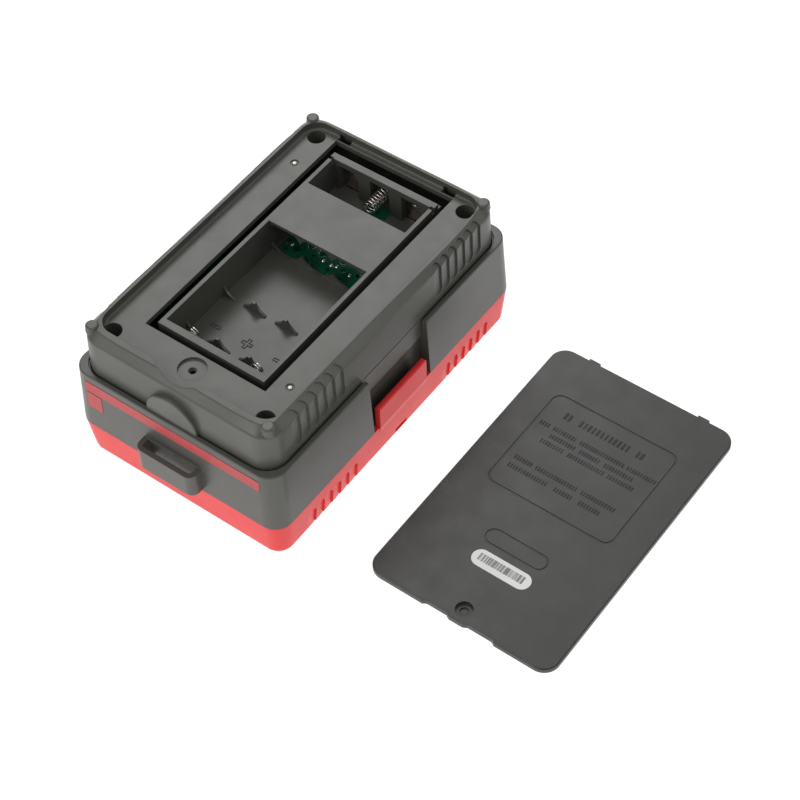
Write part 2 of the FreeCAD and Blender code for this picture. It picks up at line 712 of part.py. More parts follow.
def battery_tray():
    base = z_lane - tray_floor_thickness
    flange_x = tray_outer_half + flange_reach + side_flange
    flange = block(-flange_x, flange_x, tray_out_near - flange_reach, tray_out_far + flange_reach,
                   base, z_lane)
    walls = block(-tray_outer_half, tray_outer_half, tray_out_near, tray_out_far, base, z_tray_top)
    back = block(-tray_outer_half, tray_outer_half, tray_far, contact_wall + pocket_wall, base, z_pocket)
    bosses = [rod(post_radius, base, base + 6.0, x, y) for x, y in tray_screws]
    bay_near = block(-tray_inner_half, tray_inner_half, tray_near, bridge_near, z_lane, z_rim)
    bay_far = block(-tray_inner_half, tray_inner_half, bridge_far, tray_far, z_lane, z_rim)
    under_bridge = z_tray_top - bridge_thickness
    tunnel_start = bridge_near + window_wall
    tunnel = block(-tray_inner_half, tray_inner_half, tunnel_start, bridge_far, z_lane, under_bridge)
    window_band = block(-tray_inner_half, tray_inner_half, bridge_near - 0.5, tunnel_start + 0.5,
                        z_lane - window_sink, under_bridge)
    windows = [rod_y(window_radius, bridge_near - 0.5, tunnel_start + 0.5,
                     x, z_lane + window_radius - window_sink).common(window_band) for x in lanes]
    floor_gap = block(-tray_inner_half + 1.0, tray_inner_half - 1.0, tunnel_start, bridge_far - 1.0,
                      base - 1, z_lane + 0.1)
    middle_gap = block(lanes[1] - pocket_half, lanes[1] + pocket_half, bridge_far - 2.0, contact_wall,
                       base - 1, z_lane + 0.1)
    pockets = [block(x - pocket_half, x + pocket_half, tray_far - 0.1, contact_wall, z_lane, z_pocket)
               for x in lanes]
    pockets += [block(x - pocket_half, x + pocket_half, contact_wall - contact_sheet - fit_gap, contact_wall,
                      base - 1, z_pocket) for x in lanes]
    corner_cuts = [block(min(side * tray_inner_half, side * (tray_outer_half + 1)),
                         max(side * tray_inner_half, side * (tray_outer_half + 1)),
                         tray_far - 1.0, tray_far + 0.6, z_tray_top - 3.0, z_tray_top + 1)
                   for side in (-1, 1)]
    tray = fused([flange, walls, back] + bosses)
    tray = tray.cut([bay_near, bay_far, tunnel, floor_gap, middle_gap] + windows + pockets + corner_cuts)
    tray = fused([tray] + lane_fins() + polarity_marks())
    cuts = [rod(screw_radius, base - 1, base + 5.0, x, y) for x, y in tray_screws]
    cuts += [rod(well_radius + well_wall + running_gap, base - 1, z_lane + 1, x, y) for x, y in wells]
    return tray.cut(cuts)


def tray_screw_set():
    """Screws from under the main board into the tray's bosses."""
    screws = []
    for x, y in tray_screws:
        head = rod(screw_head_radius, z_main_board - screw_head, z_main_board, x, y)
        screws.append(fused([head, rod(screw_radius, z_main_board, z_lane + 3.0, x, y)]))
    return Part.makeCompound(screws)


def spring_contact(x, wall_y, direction, length):
    """Contact spring along Y from a tray wall: a helix of round wire on a round foot."""
    foot_thickness = 0.6
    helix = Part.makeHelix(length / spring_turns, length, spring_radius)
    start = helix.Edges[0].valueAt(helix.Edges[0].FirstParameter)
    heading = helix.Edges[0].tangentAt(helix.Edges[0].FirstParameter)
    section = Part.Wire(Part.makeCircle(spring_wire, start, heading))
    coil = Part.Wire(helix).makePipeShell([section], True, True)
    foot = rod(spring_radius + spring_wire, -foot_thickness, -0.1)
    spring = fused([Part.Solid(coil), foot])
    spring.rotate(Vector(0, 0, 0), Vector(1, 0, 0), -90 * direction)
    spring.translate(Vector(x, wall_y + direction * foot_thickness, z_cell))
    return spring


def plate_contact(x, wall_y, direction, foot):
    """Sprung metal plate on a tray wall with a round dimple for the cell's tip."""
    y0 = wall_y if direction > 0 else wall_y - contact_sheet
    half = pocket_half - 0.3
    plate = block(x - half, x + half, y0, y0 + contact_sheet, foot, z_lane + 13.5)
    middle = Vector(x, wall_y - direction * dimple_set_back, z_cell + dimple_lift)
    dome = Part.makeSphere(dimple_radius, middle)
    outside = block(x - 6, x + 6, min(wall_y, wall_y + direction * 4), max(wall_y, wall_y + direction * 4),
                    z_lane, z_tray_top)
    return fused([plate, dome.common(outside)])


# ================================================================ boards
def corner_notches(half_x, half_y, z0, z1):
    reach_x = well_x - well_radius - well_wall - board_gap
    reach_y = well_y - well_radius - well_wall - board_gap
    return [block(min(sx * reach_x, sx * (half_x + 1)), max(sx * reach_x, sx * (half_x + 1)),
                  min(sy * reach_y, sy * (half_y + 1)), max(sy * reach_y, sy * (half_y + 1)), z0, z1)
            for sx in (-1, 1) for sy in (-1, 1)]


def main_board():
    half_x = rear_inside[0] / 2 - board_gap
    half_y = rear_inside[1] / 2 - board_gap
    board = block(-half_x, half_x, -half_y, half_y, z_main_board, z_board_top)
    cuts = corner_notches(half_x, half_y, z_main_board - 1, z_board_top + 1)
    cuts += [rod(screw_radius, z_main_board - 1, z_board_top + 1, x, y) for x, y in posts + tray_screws]
    cuts += [rod(pad_hole_radius, z_main_board - 1, z_board_top + 1, lanes[lane] + x, bridge_near + y)
             for lane, x, y in pad_holes]
    return board.cut(cuts)


def solder_joints():
    """Row of solder domes on the board where it shows through the tray's windows."""
    domes = []
    for lane, from_lane, from_bridge in solder_places:
        x = lanes[lane] + from_lane
        y = bridge_near + from_bridge
        ball = Part.makeSphere(solder_radius, Vector(x, y, z_board_top - 0.3))
        domes.append(ball.common(block(x - 2, x + 2, y - 2, y + 2, z_board_top, z_board_top + 2)))
    return Part.makeCompound(domes)


def panel_board():
    half_x = rear_inside[0] / 2 - 2 * board_gap
    board = block(-half_x, half_x, -panel_board_half, panel_board_half,
                  z_panel_board, z_panel_board + board_thickness)
    return board.cut([rod(screw_radius, z_panel_board - 1, z_panel_board + 3, x, y) for x, y in posts])


def board_spacers():
    """Hexagon spacers between the boards, each with a stud into the front case."""
    spacers = []
    foot = z_panel_board + board_thickness
    for x, y in posts:
        corners = [(x + 3.2 * math.cos(math.radians(60 * i)), y + 3.2 * math.sin(math.radians(60 * i)))
                   for i in range(6)]
        body = plan_polygon(corners, foot, z_main_board)
        stud = rod(screw_radius, z_panel_board - 4.5, foot, x, y)
        spacers.append(fused([body, stud]).cut(rod(screw_radius, z_main_board - 6.0, z_main_board, x, y)))
    return Part.makeCompound(spacers)


def board_screws():
    screws = []
    for x, y in posts:
        head = rod(screw_head_radius, z_board_top, z_board_top + screw_head, x, y)
        screws.append(fused([head, rod(screw_radius, z_main_board - 5.0, z_board_top, x, y)]))
    return Part.makeCompound(screws)


def board_header():
    """Plug and socket strip that joins the two boards."""
    return block(-34.0, -29.0, -14.0, 14.0, z_panel_board + board_thickness, z_main_board)


def hanging_parts():
    """What hangs from the underside of the main board, by node name."""
    under = z_main_board
    parts = {}
    parts["processor_chip"] = block(-7, 7, 42, 56, under - 1.6, under)
    parts["transformer"] = block(12, 30, -12, 8, under - 13.0, under)
    parts["capacitors"] = Part.makeCompound([rod(4.0, under - 12.0, under, x, -24.0) for x in (8, 18, 28)])
    parts["buzzer"] = rod(6.0, under - 7.5, under, -18, 34)
    tube = rod_y(2.5, -62.0, -42.0, 20.0, under - 5.0)
    clips = [block(16.5, 23.5, y, y + 4.0, under - 8.0, under) for y in (-60.0, -48.0)]
    parts["fuse"] = tube
    parts["fuse_clips"] = Part.makeCompound([c.cut(tube) for c in clips])
    return parts


# ================================================================ front panel pieces
def display_window():
    width, length = display_size
    return prism(width, length, 3.0, z_panel, z_panel + display_thickness, 0, display_y)


def lcd_module():
    width, length = lcd_size
    z0 = z_panel_in + 0.2
    return prism(width, length, 1.0, z0, z0 + lcd_thickness, 0, display_y)


def lcd_connector():
    z0 = z_panel_in + 0.2 + lcd_thickness
    y = display_y + lcd_size[1] / 2 - 3.0
    return block(-28.0, 28.0, y - 1.2, y + 1.2, z0, z_panel_board)


def keypad_mat():
    """Rubber mat under the panel board, behind the keys."""
    return prism(2 * key_pitch + 18.0, 13.0, 2.0, z_panel_board - 1.4, z_panel_board, 0, key_y)


def push_key(x):
    top = z_panel_board - 1.4 - key_travel - 0.3
    cap = prism(key_size[0], key_size[1], 2.2, z_panel - key_proud, top, x, key_y)
    cap = cap.makeFillet(0.5, edges_at(cap, z_panel - key_proud))
    flange = prism(key_size[0] + 3.0, key_size[1] + 3.0, 3.0, z_panel_in + 0.1, z_panel_in + 0.1 + key_flange,
                   x, key_y)
    return fused([cap, flange])


def test_button():
    top = z_panel_board - test_travel - 0.4
    cap = rod(test_radius, z_panel - test_proud, top, test_x, knob_y)
    cap = cap.makeFillet(0.8, edges_at(cap, z_panel - test_proud))
    flange = rod(test_radius + 1.5, z_panel_in + 0.1, z_panel_in + 0.1 + key_flange, test_x, knob_y)
    return fused([cap, flange])


def range_knob():
    """Round scalloped knob with a raised grip bar."""
    top = z_panel - 0.4
    disc = rod(knob_radius, top - 4.0, top, knob_x, knob_y)
    scallops = []
    for i in range(knob_scallops):
        angle = 2 * math.pi * (i + 0.5) / knob_scallops
        reach = knob_radius + 1.2
        scallops.append(rod(2.2, top - 5.0, top + 1.0, knob_x + reach * math.cos(angle),
                            knob_y + reach * math.sin(angle)))
    disc = disc.cut(scallops)
    bar = prism(9.0, 2 * knob_radius - 4.0, 4.0, top - knob_height, top - 4.0, knob_x, knob_y)
    bar = bar.makeFillet(1.2, edges_at(bar, top - knob_height))
    knob = fused([disc, bar])
    bore = rod(shaft_radius, top - knob_height + 2.0, top + 1.0, knob_x, knob_y)
    return knob.cut([bore, pointer_slot(0.0)])


def pointer_slot(gap):
    """White pointer line let into the face of the grip bar."""
    low = z_panel - 0.4 - knob_height
    y1 = knob_y + knob_radius - 3.5
    return block(knob_x - 0.7 + gap, knob_x + 0.7 - gap, y1 - 9.0 + gap, y1 - gap, low, low + 0.8)


def switch_shaft():
    low = z_panel - 0.4 - knob_height + 2.0
    return rod(shaft_radius, low, z_panel_board - 1.0, knob_x, knob_y)


def rotary_switch():
    """Switch body on the panel board, with the bore that the shaft turns in."""
    body = prism(26.0, 26.0, 3.0, z_panel_in + 0.1, z_panel_board, knob_x, knob_y)
    return body.cut(rod(shaft_radius + shaft_gap, z_panel_in - 1, z_panel_board - 0.6, knob_x, knob_y))


def input_socket(x):
    """Brass 4 mm socket; its solder pin reaches the main board."""
    mouth = z_panel - shroud_proud + 1.0
    end = mouth + socket_depth
    body = rod(socket_radius, mouth, end, x, socket_y)
    pin = rod(0.7, end, z_main_board, x, socket_y)
    return fused([body, pin]).cut(rod(socket_bore, mouth - 1, end - 1.5, x, socket_y))


def indicator_lamps():
    """Two lamps in the panel, standing on the panel board."""
    lamps = []
    for side in (-1, 1):
        dome = rod(lamp_radius, z_panel - 0.4, z_panel_in + 2.0, side * lamp_x, display_y)
        dome = dome.makeFillet(0.6, edges_at(dome, z_panel - 0.4))
        leg = rod(0.6, z_panel_in + 2.0, z_panel_board, side * lamp_x, display_y)
        lamps.append(fused([dome, leg]))
    return Part.makeCompound(lamps)


# ================================================================ battery door
def sunk_line(width, length, corner, low, x, y):
    """Cutter for a closed line sunk into the door's face."""
    high = door_thickness + 1
    inner_corner = corner - groove_width
    inside = prism(width - 2 * groove_width, length - 2 * groove_width, inner_corner, low, high, x, y)
    return prism(width, length, corner, low, high, x, y).cut(inside)


def battery_door():
    """Door in the recess's own plan frame, lying flat."""
    panel = prism(door_width, door_far - door_near, recess_corner - door_gap, 0, door_thickness,
                  0, (door_far + door_near) / 2)
    panel = panel.makeChamfer(0.5, edges_at(panel, door_thickness))
    notch = prism(door_notch_length, 8.0, door_notch_round, -1, door_thickness + 1, 1.0,
                  door_near + door_notch_depth - 4.0)
    tongue = rod(door_tongue_radius, 0, door_thickness, 0, door_near + door_tongue_radius - 0.6)
    tongue = tongue.common(block(-9, 9, door_near, door_near + 9, 0, door_thickness))
    tabs = [block(side * door_tab_x - door_tab_width / 2, side * door_tab_x + door_tab_width / 2,
                  door_far - 1.0, door_far + door_tab_reach, 0, door_tab_thickness) for side in (-1, 1)]
    panel = fused([panel.cut(notch), tongue] + tabs)
    low = door_thickness - groove_depth
    frame = sunk_line(door_frame[0], door_frame[1], door_frame_corner, low, 0, door_frame_y)
    pill_x, pill_y = door_pill_place
    pill = sunk_line(door_pill_length, label_width, label_width / 2 - 0.01, low, pill_x, pill_y)
    sink = [rod(door_sink_radius, door_thickness - door_sink, door_thickness + 1, 0, door_screw_y),
            rod(door_step_radius, door_thickness - door_step, door_thickness + 1, 0, door_screw_y)]
    return panel.cut([frame, pill] + sink)


def door_label():
    return prism(label_length, label_width, label_width / 2 - 0.01, door_thickness,
                 door_thickness + label_thickness, door_label_place[0], door_label_place[1])


# ================================================================ every node, by name
def build_nodes():
    nodes = {
        "front_cover": front_cover(),
        "front_case": front_case(),
        "end_stripe": end_stripe(),
        "rear_case": rear_case(),
        "plate_studs": plate_studs(),
        "door_screw_insert": door_screw_insert(),
        "case_screws": case_screws(),
        "battery_tray": battery_tray(),
        "tray_screws": tray_screw_set(),
        "contact_spring_near_left": spring_contact(lanes[0], tray_near, 1, near_spring_length),
        "contact_plate_near_middle": plate_contact(lanes[1], tray_near, 1, z_lane + 1.5),
        "contact_spring_near_right": spring_contact(lanes[2], tray_near, 1, near_spring_length),
        "contact_plate_far_left": plate_contact(lanes[0], contact_wall, -1, z_board_top),
        "contact_spring_far_middle": spring_contact(lanes[1], contact_wall, -1, far_spring_length),
        "contact_plate_far_right": plate_contact(lanes[2], contact_wall, -1, z_board_top),
        "main_board": main_board(),
        "solder_joints": solder_joints(),
        "panel_board": panel_board(),
        "board_spacers": board_spacers(),
        "board_screws": board_screws(),
        "board_header": board_header(),
        "display_window": display_window(),
        "lcd_module": lcd_module(),
        "lcd_connector": lcd_connector(),
        "keypad_mat": keypad_mat(),
        "rotary_switch": rotary_switch(),
        "switch_shaft": switch_shaft(),
        "range_knob": range_knob(),
        "knob_pointer": pointer_slot(0.05),
        "test_button": test_button(),
        "indicator_lamps": indicator_lamps(),
    }
    for name, x in zip(("left", "middle", "right"), keys):
        nodes["key_" + name] = push_key(x)
    for name, x in zip(("left", "middle", "right"), sockets):
        nodes["input_socket_" + name] = input_socket(x)
    nodes.update(hanging_parts())
    for name, shape in (("battery_door", battery_door()), ("door_label", door_label())):
        shape.translate(door_place)
        nodes[name] = shape
    return nodes


def main():
    os.makedirs("parts", exist_ok=True)
    for name, shape in build_nodes().items():
        shape.exportStep("parts/" + name + ".step")
        print(name, len(shape.Solids), "solid(s)", round(shape.Volume), "mm3", shape.isValid())


main()
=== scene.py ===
# %% [markdown]
# # A hand-held circuit breaker finder, seen from behind
#
# The tester lies face down on its red push-on cover.  Its battery door is off and lies beside it,
# so the empty compartment is open: three lanes for two cells each, a bridge across the middle,
# sprung contacts at the ends and a green circuit board showing through round windows.
#
# The hard parts of the object were drawn in CAD and arrive here as a fixed frame.  In this lesson
# we dress that frame: plastics, metals, a circuit board, a display, and the small things that are
# too fine for the CAD, such as coil springs, printed ticks and a barcode.

# %% Load the frame
import json
import math

import bmesh
import bpy
from mathutils import Matrix, Vector


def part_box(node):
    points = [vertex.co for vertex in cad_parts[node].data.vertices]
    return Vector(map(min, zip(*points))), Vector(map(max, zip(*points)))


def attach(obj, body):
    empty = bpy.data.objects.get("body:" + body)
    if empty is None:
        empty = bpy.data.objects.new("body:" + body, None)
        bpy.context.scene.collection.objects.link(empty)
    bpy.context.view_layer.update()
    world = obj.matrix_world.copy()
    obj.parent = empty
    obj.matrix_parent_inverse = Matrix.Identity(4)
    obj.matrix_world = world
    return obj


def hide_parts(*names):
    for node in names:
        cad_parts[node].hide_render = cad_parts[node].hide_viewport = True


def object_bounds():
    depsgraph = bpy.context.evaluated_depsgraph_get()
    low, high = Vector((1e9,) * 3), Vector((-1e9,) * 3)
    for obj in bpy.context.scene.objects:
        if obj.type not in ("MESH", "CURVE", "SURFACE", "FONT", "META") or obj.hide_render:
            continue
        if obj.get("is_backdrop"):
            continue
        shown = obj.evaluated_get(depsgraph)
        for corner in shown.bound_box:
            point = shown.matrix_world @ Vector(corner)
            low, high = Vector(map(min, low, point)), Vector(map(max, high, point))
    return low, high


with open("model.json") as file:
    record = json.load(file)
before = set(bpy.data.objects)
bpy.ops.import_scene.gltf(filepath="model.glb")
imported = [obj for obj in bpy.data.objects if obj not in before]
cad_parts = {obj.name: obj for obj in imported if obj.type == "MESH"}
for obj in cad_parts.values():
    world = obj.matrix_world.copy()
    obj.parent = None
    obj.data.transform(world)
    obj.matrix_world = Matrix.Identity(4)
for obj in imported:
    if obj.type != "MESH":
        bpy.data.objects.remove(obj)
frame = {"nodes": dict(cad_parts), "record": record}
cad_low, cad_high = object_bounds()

nodes = frame["nodes"]

# %% [markdown]
# ## Units and places
#
# Blender counts in metres here, and the object is small, so lengths are easier to read in
# millimetres. `mm` turns one into the other. Every place comes from a CAD node's box, so that a
# piece still fits when the CAD changes.

# %% Millimetres, and the middle of a node
def mm(value):
    return value * 0.001


def centre(node):
    low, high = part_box(node)
    return (low + high) / 2


size_text = " x ".join(str(round(s * 1000, 1)) for s in (cad_high - cad_low))
print("whole object:", size_text, "mm")

# %% [markdown]
# ## Building materials by hand
#
# A material in Blender is a small graph: each node does one thing, and wires carry colours and
# numbers between them.  It can be drawn in the shader editor or built in a script.  A script is
# used here because the same graph is needed in several colours.
#
# `Graph` keeps the typing short: `g.add(kind, ...)` makes a node and sets its sockets, and
# `g.wire(a, b)` joins an output to an input.

# %% A small helper for node graphs
class Graph:
    def __init__(self, tree):
        self.tree = tree

    def add(self, kind, values=None, **settings):
        made = self.tree.nodes.new(kind)
        for key, value in settings.items():
            setattr(made, key, value)
        for socket, value in (values or {}).items():
            made.inputs[socket].default_value = value
        return made

    def wire(self, output, target):
        self.tree.links.new(output, target)


def new_material(name):
    material = bpy.data.materials.new(name)
    material.use_nodes = True
    material.node_tree.nodes.clear()
    g = Graph(material.node_tree)
    shader = g.add("ShaderNodeBsdfPrincipled")
    out = g.add("ShaderNodeOutputMaterial")
    g.wire(shader.outputs["BSDF"], out.inputs["Surface"])
    return material, g, shader


def noise(g, scale, detail=2.0, roughness=0.5):
    """Noise in the object's own coordinates, so it sticks to the piece.  Scale is per metre."""
    place = g.add("ShaderNodeTexCoord")
    made = g.add("ShaderNodeTexNoise", {"Scale": scale, "Detail": detail, "Roughness": roughness})
    g.wire(place.outputs["Object"], made.inputs["Vector"])
    return made.outputs["Fac"]


def remap(g, value, low, high, to_low, to_high):
    """Stretch the range low..high of a value to the range to_low..to_high."""
    made = g.add("ShaderNodeMapRange", {"From Min": low, "From Max": high,
                                        "To Min": to_low, "To Max": to_high})
    g.wire(value, made.inputs["Value"])
    return made.outputs["Result"]


def mix_colours(g, factor, first, second):
    """Blend two colours; each may be a colour or another node's output."""
    made = g.add("ShaderNodeMix", data_type="RGBA")
    g.wire(factor, made.inputs["Factor"])
    for socket, colour in ((made.inputs[6], first), (made.inputs[7], second)):
        if isinstance(colour, tuple):
            socket.default_value = colour
        else:
            g.wire(colour, socket)
    return made.outputs[2]


def shade(colour, factor):
    """The same colour, darker or lighter."""
    return tuple(min(1.0, c * factor) for c in colour[:3]) + (1.0,)


print("graph helpers ready")

# %% [markdown]
# ## Rounded edges without more geometry
#
# Real mouldings have no knife edges: every corner has a small radius that catches the light.  One
# could bevel each mesh, but the shader can do it too.  The Bevel node bends the surface normal near
# an edge.  Where its normal and the true one differ there is an edge, and that difference doubles
# as a mask for paler edges: partly wear, as handled plastic gets polished and a little paler there,
# and partly a painted highlight along each edge.

# %% Soft edges, and the mask for edge wear and painted highlight
def soft_edge(g, radius):
    bevel = g.add("ShaderNodeBevel", {"Radius": radius}, samples=4)
    return bevel.outputs["Normal"]


def edge_mask(g, edge_normal, breakup_scale):
    true = g.add("ShaderNodeNewGeometry")
    dot = g.add("ShaderNodeVectorMath", operation="DOT_PRODUCT")
    g.wire(edge_normal, dot.inputs[0])
    g.wire(true.outputs["Normal"], dot.inputs[1])
    near = remap(g, dot.outputs["Value"], 0.80, 0.99, 1.0, 0.0)
    patches = remap(g, noise(g, breakup_scale, 3.0), 0.38, 0.62, 0.25, 1.0)
    product = g.add("ShaderNodeMath", operation="MULTIPLY")
    g.wire(near, product.inputs[0])
    g.wire(patches, product.inputs[1])
    return product.outputs["Value"]


print("edge helpers ready")

# %% [markdown]
# ## Moulded plastic
#
# The case, the tray, the cover and the door are injection mouldings.  Their tools are spark-eroded,
# which leaves a fine random grain.  Three things make plastic look like plastic:
#
# - the colour drifts by a few percent over centimetres, from handling;
# - the gloss is patchy, because grain and finger grease differ from place to place;
# - the grain itself, as bump, is finer than half a millimetre.
#
# One function makes them all; only colour, grain and gloss change.

# %% The moulded plastic function
handling_scale = 34.0  # noise scales are per metre: this one drifts over centimetres
gloss_scale = 90.0
edge_breakup = 260.0
wear_and_highlight_share = 0.75  # how much of the edge mask shows, as wear and painted highlight


def moulded(name, colour, gloss=0.45, grain=2600.0, grain_depth=0.30, edge_wear_and_highlight=1.35, edge=0.35,
            drift=0.07, shine=0.5):
    """Grain is per metre, edge is a radius in millimetres, and the edge factor pales the edges:
    part wear, part painted highlight.
    """
    material, g, shader = new_material(name)
    broad = remap(g, noise(g, handling_scale, 3.0), 0.35, 0.65, 0.0, 1.0)
    body = mix_colours(g, broad, shade(colour, 1.0 - drift), shade(colour, 1.0 + drift))
    speck = remap(g, noise(g, grain, 2.0), 0.30, 0.70, 0.0, 0.16)
    body = mix_colours(g, speck, body, shade(colour, 1.5))
    edge_normal = soft_edge(g, mm(edge))
    wear_and_highlight_mask = edge_mask(g, edge_normal, edge_breakup)
    # Paler edges: part wear, part a painted highlight along each edge.
    wear_and_highlight_part = g.add("ShaderNodeMath", {1: wear_and_highlight_share}, operation="MULTIPLY")
    g.wire(wear_and_highlight_mask, wear_and_highlight_part.inputs[0])
    body = mix_colours(g, wear_and_highlight_part.outputs["Value"], body, shade(colour, edge_wear_and_highlight))
    g.wire(body, shader.inputs["Base Color"])
    patchy = remap(g, noise(g, gloss_scale, 4.0, 0.6), 0.30, 0.70, gloss - 0.03, gloss + 0.04)
    g.wire(patchy, shader.inputs["Roughness"])
    bump = g.add("ShaderNodeBump", {"Strength": grain_depth, "Distance": mm(0.05)})
    g.wire(noise(g, grain, 3.0, 0.6), bump.inputs["Height"])
    g.wire(edge_normal, bump.inputs["Normal"])
    g.wire(bump.outputs["Normal"], shader.inputs["Normal"])
    shader.inputs["Specular IOR Level"].default_value = shine
    return material


# The greys' edge factors of 2.2 to 2.4 paint a pale highlight along each edge, with a little wear;
# the red's 1.0 leaves its edges as they are.
case_grey = moulded("case grey, moulded", (0.094, 0.094, 0.083, 1.0), gloss=0.36, edge_wear_and_highlight=2.4,
                    edge=0.40, drift=0.04)
tray_grey = moulded("tray grey, moulded", (0.086, 0.086, 0.076, 1.0), gloss=0.36, grain=2200.0,
                    edge_wear_and_highlight=2.4, edge=0.25, drift=0.04)
door_grey = moulded("door grey, spark-eroded", (0.043, 0.043, 0.040, 1.0), gloss=0.38,
                    grain=1700.0, grain_depth=0.8, edge_wear_and_highlight=2.2, drift=0.03)
cover_red = moulded("cover red, moulded", (0.90, 0.040, 0.040, 1.0), gloss=0.36,
                    grain_depth=0.18, edge_wear_and_highlight=1.0, drift=0.03, shine=0.28)
print("plastics:", case_grey.name, "|", tray_grey.name, "|", door_grey.name, "|", cover_red.name)

# %% [markdown]
# ## The smaller plastics
#
# The knob, the keys and the test button sit under the cover, on the front.  They use the same
# function with other numbers.  The chips and plugs inside are black, and silicone rubber is duller
# than all of them.

# %% Knob, keys, button and black parts
# Edge factors above 1 pale the edges here too: part wear, part painted highlight.
knob_grey = moulded("knob grey", (0.055, 0.055, 0.056, 1.0), gloss=0.36, edge_wear_and_highlight=1.8)
key_grey = moulded("key cap grey", (0.30, 0.30, 0.29, 1.0), gloss=0.5, grain=3200.0, edge_wear_and_highlight=1.15)
test_red = moulded("test button red", (0.62, 0.03, 0.03, 1.0), gloss=0.32, grain_depth=0.12,
                   edge_wear_and_highlight=1.15)
black_plastic = moulded("black component plastic", (0.022, 0.022, 0.023, 1.0), gloss=0.34,
                        grain=1500.0, grain_depth=0.2, edge_wear_and_highlight=2.0, edge=0.2)
rubber_grey = moulded("silicone rubber", (0.22, 0.22, 0.215, 1.0), gloss=0.66, grain=1200.0,
                      grain_depth=0.15, edge_wear_and_highlight=1.05)
print("smaller plastics ready")

# %% [markdown]
# ## Metals
#
# Springs, screws and the thread insert under the door's screw are nickel-plated steel, the contact
# plates are nickel too but warmer, and the sockets and the spacers between the boards are turned
# brass.  A metal has almost no colour of its own: it shows its surroundings.  What tells metals
# apart is tint, gloss and the direction of fine marks.
#
# - Spring wire is drawn through a die, so it is smooth with thin scratches.
# - The two studs in the floor plate have gone dull, and solder is bright but soft.
# - Turned parts carry rings from the cutting tool: a wave pattern along the part's axis.

# %% Metal functions
tarnish_scale = 420.0
ring_phase = 6.28  # one full turn of the wave for each ring


def metal(name, colour, gloss, scratch_scale=900.0, tarnish=None):
    material, g, shader = new_material(name)
    cloud = remap(g, noise(g, tarnish_scale, 4.0, 0.6), 0.40, 0.66, 0.0, 1.0)
    tint = mix_colours(g, cloud, colour, tarnish or shade(colour, 0.8))
    g.wire(tint, shader.inputs["Base Color"])
    shader.inputs["Metallic"].default_value = 1.0
    patchy = remap(g, noise(g, scratch_scale, 3.0), 0.30, 0.70, gloss * 0.7, gloss * 1.4)
    g.wire(patchy, shader.inputs["Roughness"])
    bump = g.add("ShaderNodeBump", {"Strength": 0.15, "Distance": mm(0.02)})
    g.wire(noise(g, scratch_scale * 3.0, 2.0), bump.inputs["Height"])
    g.wire(bump.outputs["Normal"], shader.inputs["Normal"])
    return material, g, shader, bump


def turned(name, colour, gloss, pitch):
    """Metal with fine rings along Z, as a lathe leaves them."""
    material, g, shader, bump = metal(name, colour, gloss)
    place = g.add("ShaderNodeTexCoord")
    rings = g.add("ShaderNodeTexWave", {"Scale": 1.0 / (pitch * ring_phase), "Distortion": 0.4},
                  wave_type="BANDS", bands_direction="Z")
    g.wire(place.outputs["Object"], rings.inputs["Vector"])
    ring_bump = g.add("ShaderNodeBump", {"Strength": 0.25, "Distance": mm(0.03)})
    g.wire(rings.outputs["Fac"], ring_bump.inputs["Height"])
    g.wire(bump.outputs["Normal"], ring_bump.inputs["Normal"])
    g.wire(ring_bump.outputs["Normal"], shader.inputs["Normal"])
    return material


steel = metal("nickel-plated steel", (0.82, 0.80, 0.77, 1.0), 0.09,
              tarnish=(0.58, 0.52, 0.46, 1.0))[0]
contact_metal = metal("contact plate, nickel", (0.86, 0.80, 0.74, 1.0), 0.12,
                      tarnish=(0.66, 0.52, 0.42, 1.0))[0]
solder = metal("solder", (0.84, 0.84, 0.85, 1.0), 0.22, scratch_scale=500.0)[0]
stud_metal = metal("plate stud, dull nickel", (0.36, 0.35, 0.32, 1.0), 0.34)[0]
brass = turned("turned brass", (0.78, 0.57, 0.24, 1.0), 0.22, mm(0.35))
print("metals:", " | ".join(m.name for m in (steel, contact_metal, solder, stud_metal, brass)))

# %% [markdown]
# ## The circuit board
#
# A board is fibreglass with copper tracks under green lacquer.  The tracks are slightly paler and
# stand up by the thickness of the copper.  Drawing each one would be wasted work on a board that is
# mostly hidden, so the tracks come from a pattern: Voronoi cells measured in city-block distance
# have straight sides, and the thin strip along their borders reads as tracks.

# %% Green lacquered board
track_scale = 210.0
pad_scale = 250.0
bare_lacquer = (0.003, 0.052, 0.027, 1.0)
lacquer_on_copper = (0.008, 0.110, 0.058, 1.0)
tinned_pad = (0.30, 0.31, 0.26, 1.0)


def circuit_board(name):
    material, g, shader = new_material(name)
    place = g.add("ShaderNodeTexCoord")
    cells = g.add("ShaderNodeTexVoronoi", {"Scale": track_scale, "Randomness": 0.85},
                  distance="MANHATTAN", feature="F1")
    g.wire(place.outputs["Object"], cells.inputs["Vector"])
    track = remap(g, cells.outputs["Distance"], 0.42, 0.50, 0.0, 1.0)
    pads = g.add("ShaderNodeTexVoronoi", {"Scale": pad_scale, "Randomness": 1.0}, feature="F1")
    g.wire(place.outputs["Object"], pads.inputs["Vector"])
    pad = remap(g, pads.outputs["Distance"], 0.09, 0.12, 1.0, 0.0)
    lacquer = mix_colours(g, track, bare_lacquer, lacquer_on_copper)
    lacquer = mix_colours(g, pad, lacquer, tinned_pad)
    g.wire(lacquer, shader.inputs["Base Color"])
    g.wire(remap(g, noise(g, 300.0), 0.3, 0.7, 0.10, 0.20), shader.inputs["Roughness"])
    bump = g.add("ShaderNodeBump", {"Strength": 0.6, "Distance": mm(0.06)})
    g.wire(track, bump.inputs["Height"])
    g.wire(bump.outputs["Normal"], shader.inputs["Normal"])
    return material


board_green = circuit_board("green lacquered board")
print("board:", board_green.name)

